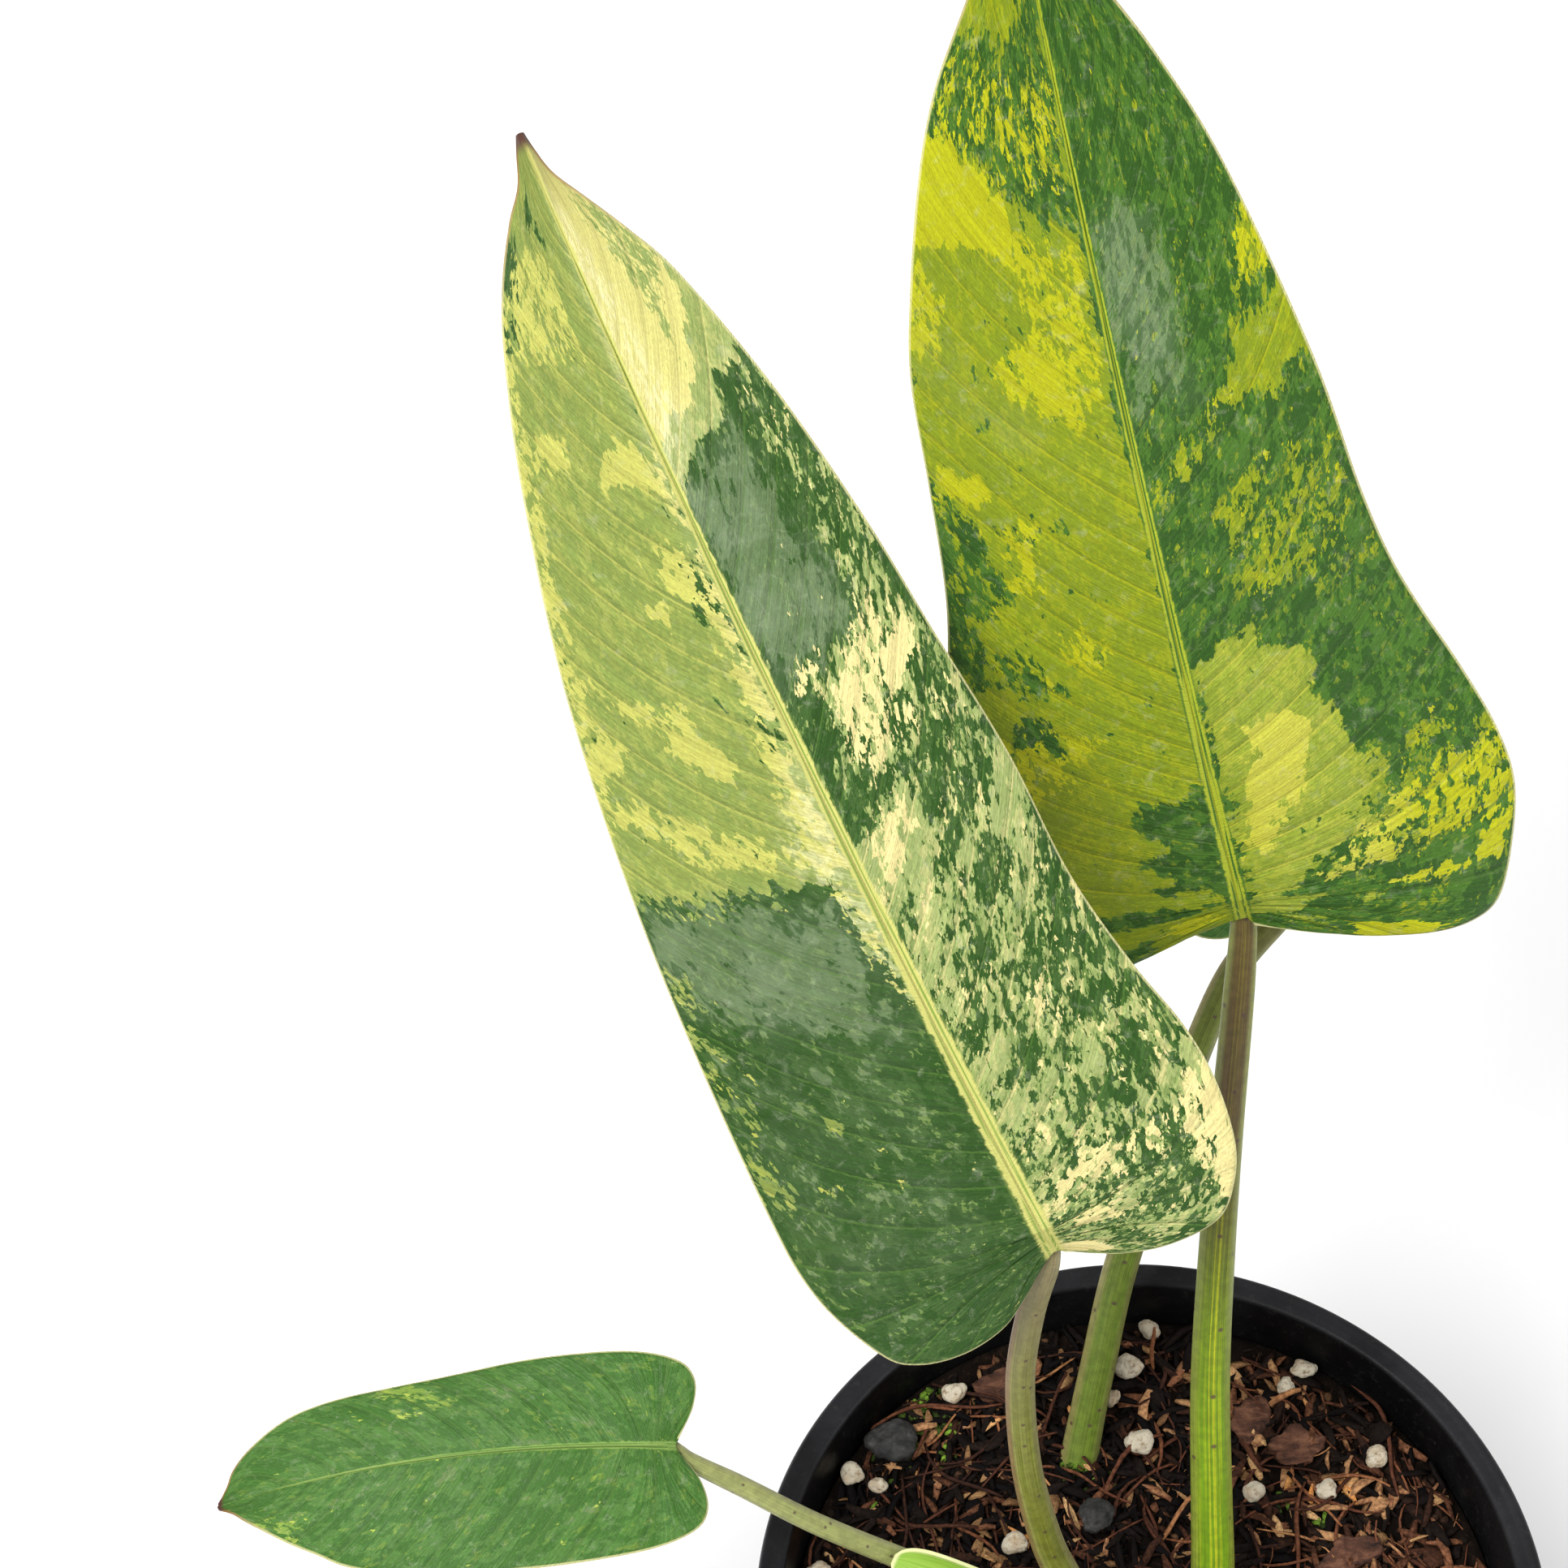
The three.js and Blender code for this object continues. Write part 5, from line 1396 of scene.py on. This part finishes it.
lift = lift + SHEATH["radius"]
place = center + side * (SHEATH["radius"] * np.sin(angle))[:, None]
place += up * (lift - SHEATH["radius"] * np.cos(angle))[:, None]
set_places(sheath, place * MM)
set_attribute(sheath, "edge", np.maximum(np.abs(co[:, 0]), tip ** 3))
set_attribute(sheath, "around", co[:, 0])
set_attribute(sheath, "up", share)
apply_modifier(sheath, "SOLIDIFY", thickness=SHEATH["thickness"] * MM, offset=0.0)
apply_modifier(sheath, "BEVEL", width=SHEATH["bevel"] * MM, segments=2, limit_method="ANGLE",
               angle_limit=math.radians(40))
report(sheath)

# %% [markdown]
# The sheath is the freshest green of all. Fine lines run along it, and towards its edge
# and tip the green fades to a pale, almost white rim.

# %% Finish: sheath
skin, tree, shader = new_material("sheath_skin", 0.4, 0.5)
lanes = add_node(tree, "ShaderNodeCombineXYZ", X=times(tree, attribute(tree, "around"), 14.0),
                 Y=attribute(tree, "up")).outputs[0]
lines = noise(tree, lanes, 1.0, 3.0, 0.6)
color = mix_colors(tree, remap(tree, lines, 0.35, 0.65), (0.20, 0.40, 0.03), (0.33, 0.52, 0.07))
color = mix_colors(tree, remap(tree, attribute(tree, "edge"), 0.72, 0.97), color, (0.66, 0.68, 0.32))
connect(tree, color, shader.inputs["Base Color"])
bump(tree, shader, lines, 0.0002, 0.8)
dress(sheath, skin)
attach(sheath, "root")
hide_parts("petiole_sheath")
print("sheath finish:", skin.name)

# %% [markdown]
# The creeping stem and its main roots lie in the mix, with only the crown near the surface.
# The frame's own solid has the right shape, so it stays and gets a barky green-brown skin.

# %% Finish: stem and roots
skin, tree, shader = new_material("stem_skin", 0.7, 0.3)
place = object_place(tree)
scars = noise(tree, stretched(tree, place, (60, 240, 60)), 1.0, 4.0, 0.6)
color = ramp(tree, scars, [(0.35, (0.06, 0.05, 0.02)), (0.55, (0.16, 0.17, 0.05)),
                           (0.7, (0.27, 0.22, 0.11))])
connect(tree, color, shader.inputs["Base Color"])
bump(tree, shader, scars, 0.0006)
dress(nodes["stem_and_roots"], skin)
print("stem finish:", skin.name)

# %% [markdown]
# The litter makes the mix look real. It is strewn by seeded random draws: each kind (crumb, shred,
# fibre, husk, moss) is modelled once with a few dozen faces, and copied with its own turn, size
# and tint onto the bed, where a ray finds the surface. All copies of a kind form one piece.

# %% Litter: how it is strewn
RAY_START = 200
# The litter's tint is darker at the left and lighter at the right: a power of a random number.
TINT_PLACES = [-10, 60]
TINT_POWERS = [2.2, 0.5]
mix_tree = BVHTree.FromObject(mix_bed, bpy.context.evaluated_depsgraph_get())
print("faces to strew on", len(mix_bed.data.polygons))


def surface_height(x, y):
    start = Vector((x * MM, y * MM, RAY_START * MM))
    hit = mix_tree.ray_cast(start, Vector((0, 0, -1)))
    return hit[0].z / MM if hit[0] else MIX_LEVEL


def turned(angle_z, tilt, roll):
    """Rotation matrices: roll about the long axis X, then tilt its end up, then turn about Z."""
    cz, sz, ct, st, cr, sr = (f(a) for a in (angle_z, tilt, roll) for f in (math.cos, math.sin))
    about_x = np.array([[1, 0, 0], [0, cr, -sr], [0, sr, cr]])
    about_y = np.array([[ct, 0, -st], [0, 1, 0], [st, 0, ct]])
    about_z = np.array([[cz, -sz, 0], [sz, cz, 0], [0, 0, 1]])
    return about_z @ about_y @ about_x


def join_copies(name, template, placements):
    """One mesh from many placed copies of a template; each placement is (matrix, place mm, tint)."""
    base = places_of(template) / MM
    faces = [tuple(p.vertices) for p in template.data.polygons]
    vertices, polygons, tints = [], [], []
    for matrix, spot, tint in placements:
        start = len(vertices) * len(base)
        vertices.append((base @ matrix.T + spot) * MM)
        polygons.extend(tuple(v + start for v in face) for face in faces)
        tints.append(np.full(len(base), tint))
    mesh = bpy.data.meshes.new(name)
    mesh.from_pydata(np.vstack(vertices).tolist(), [], polygons)
    piece = bpy.data.objects.new(name, mesh)
    bpy.context.scene.collection.objects.link(piece)
    set_attribute(piece, "tint", np.concatenate(tints))
    bpy.data.objects.remove(template)
    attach(piece, "root")
    print(piece.name, "copies", len(placements), "faces", len(polygons))
    return piece


def strew(rng, count, reach, size, sink=0.25, tilt=0.25, squash=0.35, flat=True):
    """Placements on the bed: reach is how long a copy's half is in mm before it is scaled."""
    placements = []
    while len(placements) < count:
        radius = (mix_radius - 1.5) * math.sqrt(rng.random())
        angle = rng.uniform(0, 2 * math.pi)
        x, y = radius * math.cos(angle), radius * math.sin(angle)
        scale = rng.uniform(*size)
        turn = rng.uniform(0, 2 * math.pi)
        end_x = x + reach * scale * math.cos(turn)
        end_y = y + reach * scale * math.sin(turn)
        other = math.hypot(2 * x - end_x, 2 * y - end_y)
        lean = rng.normal(0, tilt)
        roll = rng.uniform(0, 2 * math.pi) if not flat else rng.normal(0, 0.45)
        stretch = np.diag([1.0, *(rng.uniform(1 - squash, 1 + squash) for _ in range(2))])
        tint = rng.random() ** np.interp(x, TINT_PLACES, TINT_POWERS)
        if max(math.hypot(end_x, end_y), other) > mix_radius + 0.3:
            continue
        matrix = turned(turn, lean, roll) @ stretch * scale
        height = surface_height(x, y) + sink * scale + abs(lean) * reach * scale * 0.4
        placements.append((matrix, np.array([x, y, height]), tint))
    return placements


def strip(name, length, width, thickness, steps, bend, taper=0.5, twist=0.0):
    """A bent, tapering sliver: a thin box cut across by subdivision, then bowed."""
    deselect()
    bpy.ops.mesh.primitive_cube_add(size=MM)
    piece = named(name)
    bpy.ops.transform.resize(value=(length, width, thickness))
    settle(piece)
    edit(piece)
    for cut in range(1, steps):
        bpy.ops.mesh.select_all(action="SELECT")
        spot = (length * MM * (cut / steps - 0.5), 0, 0)
        bpy.ops.mesh.bisect(plane_co=spot, plane_no=(1, 0, 0))
    finish_edit()
    co = places_of(piece) / MM
    t = co[:, 0] / (length / 2)
    narrow = 1 - taper * np.abs(t) ** 1.6
    angle = twist * t
    y, z = co[:, 1] * narrow, co[:, 2] * narrow
    co[:, 1] = y * np.cos(angle) - z * np.sin(angle)
    co[:, 2] = y * np.sin(angle) + z * np.cos(angle)
    co[:, 1] += bend[0] * length * (t * t - 0.4) + bend[1] * length * np.sin(2.6 * t)
    co[:, 2] += bend[2] * length * (0.5 - t * t)
    set_places(piece, co * MM)
    return piece


# %% Litter: crumbs, shreds, fibres, husks and moss
deselect()
bpy.ops.mesh.primitive_ico_sphere_add(subdivisions=1, radius=MM)
crumb = named("crumb")
co = places_of(crumb)
lumps = np.sin(co * 3900 + np.array([0.3, 1.1, 2.0])).sum(1)
set_places(crumb, co * (1 + 0.16 * lumps[:, None]))
rng = np.random.default_rng(11)
crumbs = join_copies("mix_crumbs", crumb, strew(rng, 2600, 1, (0.5, 1.7), sink=-0.1, flat=False))

MOSS_SPOTS = [(-58, 62, 13, 300), (-14, 47, 7, 60), (37, 36, 3, 14), (46, 32, 3, 12), (-68, 32, 4, 16)]
deselect()
bpy.ops.mesh.primitive_ico_sphere_add(subdivisions=1, radius=MM)
moss = named("moss")
set_places(moss, places_of(moss) * np.array([2.1, 1.1, 0.9]))
rng = np.random.default_rng(21)
tufts = []
for x, y, spread, count in MOSS_SPOTS:
    for _ in range(count):
        place = np.array([x, y]) + rng.normal(0, spread / 2, 2)
        if np.hypot(*place) > mix_radius - 2:
            continue
        matrix = turned(rng.uniform(0, 6.28), rng.normal(0.5, 0.4), 0) * rng.uniform(0.3, 0.85)
        height = surface_height(*place) + 0.9
        tufts.append((matrix, np.array([*place, height]), rng.random()))
moss_tufts = join_copies("moss_tufts", moss, tufts)

SLIVERS = [
    # name, (what strip() makes it from), count, half length, sizes, tilt
    ("mix_shreds", ("shred", 9, 1.7, 1.0, 3, (0.05, 0.03, 0.06), 0.5, 0.5),
     2500, 4.5, (0.4, 1.35), 0.26),
    ("mix_flakes", ("flake", 7, 4.2, 0.8, 3, (0.04, -0.05, 0.08), 0.4, 0.25),
     420, 3.5, (0.35, 1.1), 0.35),
    ("coir_fibres", ("fibre", 17, 0.5, 0.42, 7, (0.10, 0.05, 0.05), 0.35, 0.8),
     560, 8.5, (0.4, 1.7), 0.16),
    ("rice_husks", ("husk", 8.4, 2.3, 1.0, 4, (0.03, 0.0, 0.10), 0.75, 0.1),
     300, 4.2, (0.55, 1.15), 0.35),
]
rng = np.random.default_rng(12)
litter = {}
for name, makings, count, reach, size, tilt in SLIVERS:
    placements = strew(rng, count, reach, size, sink=0.9, tilt=tilt)
    litter[name] = join_copies(name, strip(*makings), placements)

# %% [markdown]
# A few long pieces catch the eye, so they are laid one by one: rusty coir strands up to
# 5 cm long, an orange splinter, and one strand that stands upright between the stalks.

# %% Litter: long strands laid one by one
LONG_STRANDS = [
    # (start x, start y, rise), (end x, end y, rise), thickness, sag, tint
    ((-74, 55, 1.5), (-36, 67, 3.5), 1.0, 3.0, 0.45), ((31, 62, 1.5), (43.5, 69, 3.0), 1.9, 0.5, 0.95),
    ((5.5, 76, 0.0), (5.0, 84, 9.0), 1.3, 0.5, 0.8), ((56, 72, 2.5), (70, 39, 2.5), 1.2, 3.5, 0.4),
    ((17, 65, 3.0), (34, 47, 2.5), 1.7, 2.5, 0.35), ((-66, 60, 2.0), (-46, 64, 2.5), 1.0, 1.5, 0.6),
    ((24, 30, 2.5), (62, 38, 2.0), 0.9, 4.0, 0.5), ((-30, 45, 2.0), (-2, 40, 2.5), 0.9, 3.0, 0.55),
    ((64, 22, 2.0), (80, 8, 2.5), 1.1, 2.5, 0.3), ((-44, -46, 2.0), (-10, -62, 2.5), 1.1, 4.0, 0.5),
    ((20, -55, 2.0), (52, -36, 2.5), 1.0, 3.5, 0.6), ((-70, -10, 2.0), (-52, -34, 2.5), 1.0, 3.0, 0.45),
]

strands, tints = [], []
for start, end, thickness, sag, tint in LONG_STRANDS:
    ends = np.array([start[:2], end[:2]], float)
    run = ends[1] - ends[0]
    across = np.array([-run[1], run[0]]) / np.linalg.norm(run)
    points = []
    for step in np.linspace(0, 1, 7):
        spot = ends[0] + run * step + across * sag * math.sin(math.pi * step * 1.5)
        height = surface_height(*spot) + start[2] + (end[2] - start[2]) * step
        points.append([*spot, height + 0.5])
    course, _ = smooth_curve(points)
    radius = thickness / 2

    def thin_ends(share, angle, radius=radius):
        thinned = radius * (1 - 0.45 * np.abs(2 * share - 1) ** 3)
        return thinned * (1 + 0.12 * np.cos(3 * angle + 9 * share))

    piece, _, _ = tube("strand", course, thin_ends, 0.75, 6, 22)
    strands.append(piece)
    tints += [tint] * len(piece.data.vertices)
select_only(*strands)
bpy.ops.object.join()
long_strands = named("long_strands")
set_attribute(long_strands, "tint", tints)
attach(long_strands, "root")
report(long_strands)

# %% [markdown]
# The litter's colours run from near black over reddish brown to straw. Each copy's tint picks its
# place on the ramp, and noise along the grain keeps it from being one flat tone.

# %% Finish: litter


def litter_finish(name, stops, grain_scale, roughness=0.85):
    material, tree, shader = new_material(name, roughness, 0.1)
    place = object_place(tree)
    grain = noise(tree, place, grain_scale, 3.0, 0.6)
    spread = maths(tree, "SUBTRACT", grain, 0.5)
    tint = maths(tree, "MULTIPLY_ADD", spread, 0.35, attribute(tree, "tint"))
    color = ramp(tree, tint, stops)
    fine = remap(tree, noise(tree, place, grain_scale * 4, 2.0), 0.3, 0.7, 0.65, 1.25)
    connect(tree, shaded(tree, color, fine), shader.inputs["Base Color"])
    bump(tree, shader, grain, 0.0008, 0.9)
    return material


dark_bits = litter_finish("dark_crumbs", [(0.0, (0.003, 0.002, 0.0015)), (0.6, (0.010, 0.006, 0.004)),
                                          (0.85, (0.03, 0.015, 0.009)),
                                          (1.0, (0.10, 0.05, 0.025))], 300.0)
shreds = litter_finish("bark_shreds", [(0.0, (0.003, 0.002, 0.002)), (0.5, (0.010, 0.006, 0.0045)),
                                       (0.75, (0.055, 0.021, 0.011)), (0.9, (0.19, 0.078, 0.038)),
                                       (1.0, (0.38, 0.20, 0.09))], 260.0)
fibres = litter_finish("coir", [(0.0, (0.03, 0.012, 0.008)), (0.5, (0.10, 0.035, 0.018)),
                                (0.8, (0.20, 0.075, 0.032)), (1.0, (0.36, 0.17, 0.07))], 200.0, 0.75)
husks = litter_finish("straw_husk", [(0.0, (0.14, 0.07, 0.03)), (0.5, (0.36, 0.20, 0.085)),
                                     (0.8, (0.55, 0.33, 0.15)), (1.0, (0.60, 0.24, 0.06))], 420.0, 0.7)
greens = litter_finish("moss_green", [(0.0, (0.012, 0.018, 0.004)), (0.6, (0.05, 0.085, 0.012)),
                                      (1.0, (0.17, 0.30, 0.03))], 500.0)
litter_skins = (
    (crumbs, dark_bits), (moss_tufts, greens), (litter["mix_shreds"], shreds),
    (litter["mix_flakes"], shreds), (litter["coir_fibres"], fibres), (long_strands, fibres),
    (litter["rice_husks"], husks),
)
for piece, material in litter_skins:
    dress(piece, material)
print("litter finishes:", {piece.name: material.name for piece, material in litter_skins})

# %% [markdown]
# Perlite is expanded glass, as white rounded grains with a chalky, pitted skin; pebbles are dark and
# smooth; bark chips are flat and layered. The frame holds their places and sizes. A copy of each
# solid is merged, subdivided and displaced, and the copies of a kind are joined in one piece.

# %% Grains: finer copies of the frame's solids


def finer_copies(name, prefix, levels, texture_size, strength, level, cut_first=False):
    """Smoothed and roughened copies of all solids with this prefix, joined in one piece."""
    copies = []
    sources = sorted(n for n in nodes if n.startswith(prefix))
    for source in sources:
        piece = bpy.data.objects.new(source + "_copy", nodes[source].data.copy())
        bpy.context.scene.collection.objects.link(piece)
        edit(piece)
        bpy.ops.mesh.remove_doubles(threshold=MERGE)
        if cut_first:
            bpy.ops.mesh.tris_convert_to_quads()
            bpy.ops.mesh.subdivide(number_cuts=2)
        finish_edit()
        apply_modifier(piece, "SUBSURF", levels=levels, render_levels=levels)
        copies.append(piece)
    select_only(*copies)
    bpy.ops.object.join()
    joined = named(name)
    lumps = bpy.data.textures.new(name, "CLOUDS")
    lumps.noise_scale = texture_size * MM
    lumps.noise_depth = 3
    apply_modifier(joined, "DISPLACE", texture=lumps, strength=strength * MM, mid_level=level,
                   texture_coords="LOCAL")
    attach(joined, "root")
    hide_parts(*sources)
    report(joined)
    return joined


perlite = finer_copies("perlite_grains", "perlite_", 3, 3.2, 1.9, level=0.16)
pebbles = finer_copies("dark_pebbles", "pebble_", 3, 3.5, 2.2, level=0.4)
bark = finer_copies("bark_chips", "bark_chip_", 2, 3.6, 3.4, level=0.45, cut_first=True)

# %% [markdown]
# Perlite is off-white with brown in its pits and stains of wet mix. The pebbles are nearly black
# with faint grey veins. The bark is reddish brown in thin layers, dark between them.

# %% Finish: perlite, pebbles and bark
chalk, tree, shader = new_material("perlite_chalk", 0.9, 0.25)
place = object_place(tree)
pits = noise(tree, place, 700.0, 4.0, 0.65)
stain = noise(tree, place, 130.0, 3.0, 0.6)
color = mix_colors(tree, remap(tree, pits, 0.32, 0.5, 1.0, 0.0), (0.53, 0.47, 0.36), (0.27, 0.20, 0.13))
color = mix_colors(tree, remap(tree, stain, 0.45, 0.68, 0.0, 0.65), color, (0.36, 0.25, 0.14))
connect(tree, color, shader.inputs["Base Color"])
bump(tree, shader, pits, 0.0006)
dress(perlite, chalk)

stone, tree, shader = new_material("dark_pebble", 0.7, 0.35)
place = object_place(tree)
veins = noise(tree, place, 260.0, 5.0, 0.65)
color = ramp(tree, veins, [(0.35, (0.008, 0.008, 0.008)), (0.6, (0.028, 0.027, 0.025)),
                           (0.75, (0.08, 0.075, 0.07))])
connect(tree, color, shader.inputs["Base Color"])
bump(tree, shader, veins, 0.0004)
dress(pebbles, stone)

flaky, tree, shader = new_material("bark_flakes", 0.85, 0.25)
place = object_place(tree)
layers = noise(tree, stretched(tree, place, (90, 260, 420)), 1.0, 5.0, 0.65, 0.5)
color = ramp(tree, layers, [(0.34, (0.015, 0.007, 0.005)), (0.5, (0.075, 0.03, 0.017)),
                            (0.7, (0.20, 0.09, 0.05))])
connect(tree, color, shader.inputs["Base Color"])
bump(tree, shader, layers, 0.0010)
dress(bark, flaky)
print("grain finishes:", chalk.name, stone.name, flaky.name)
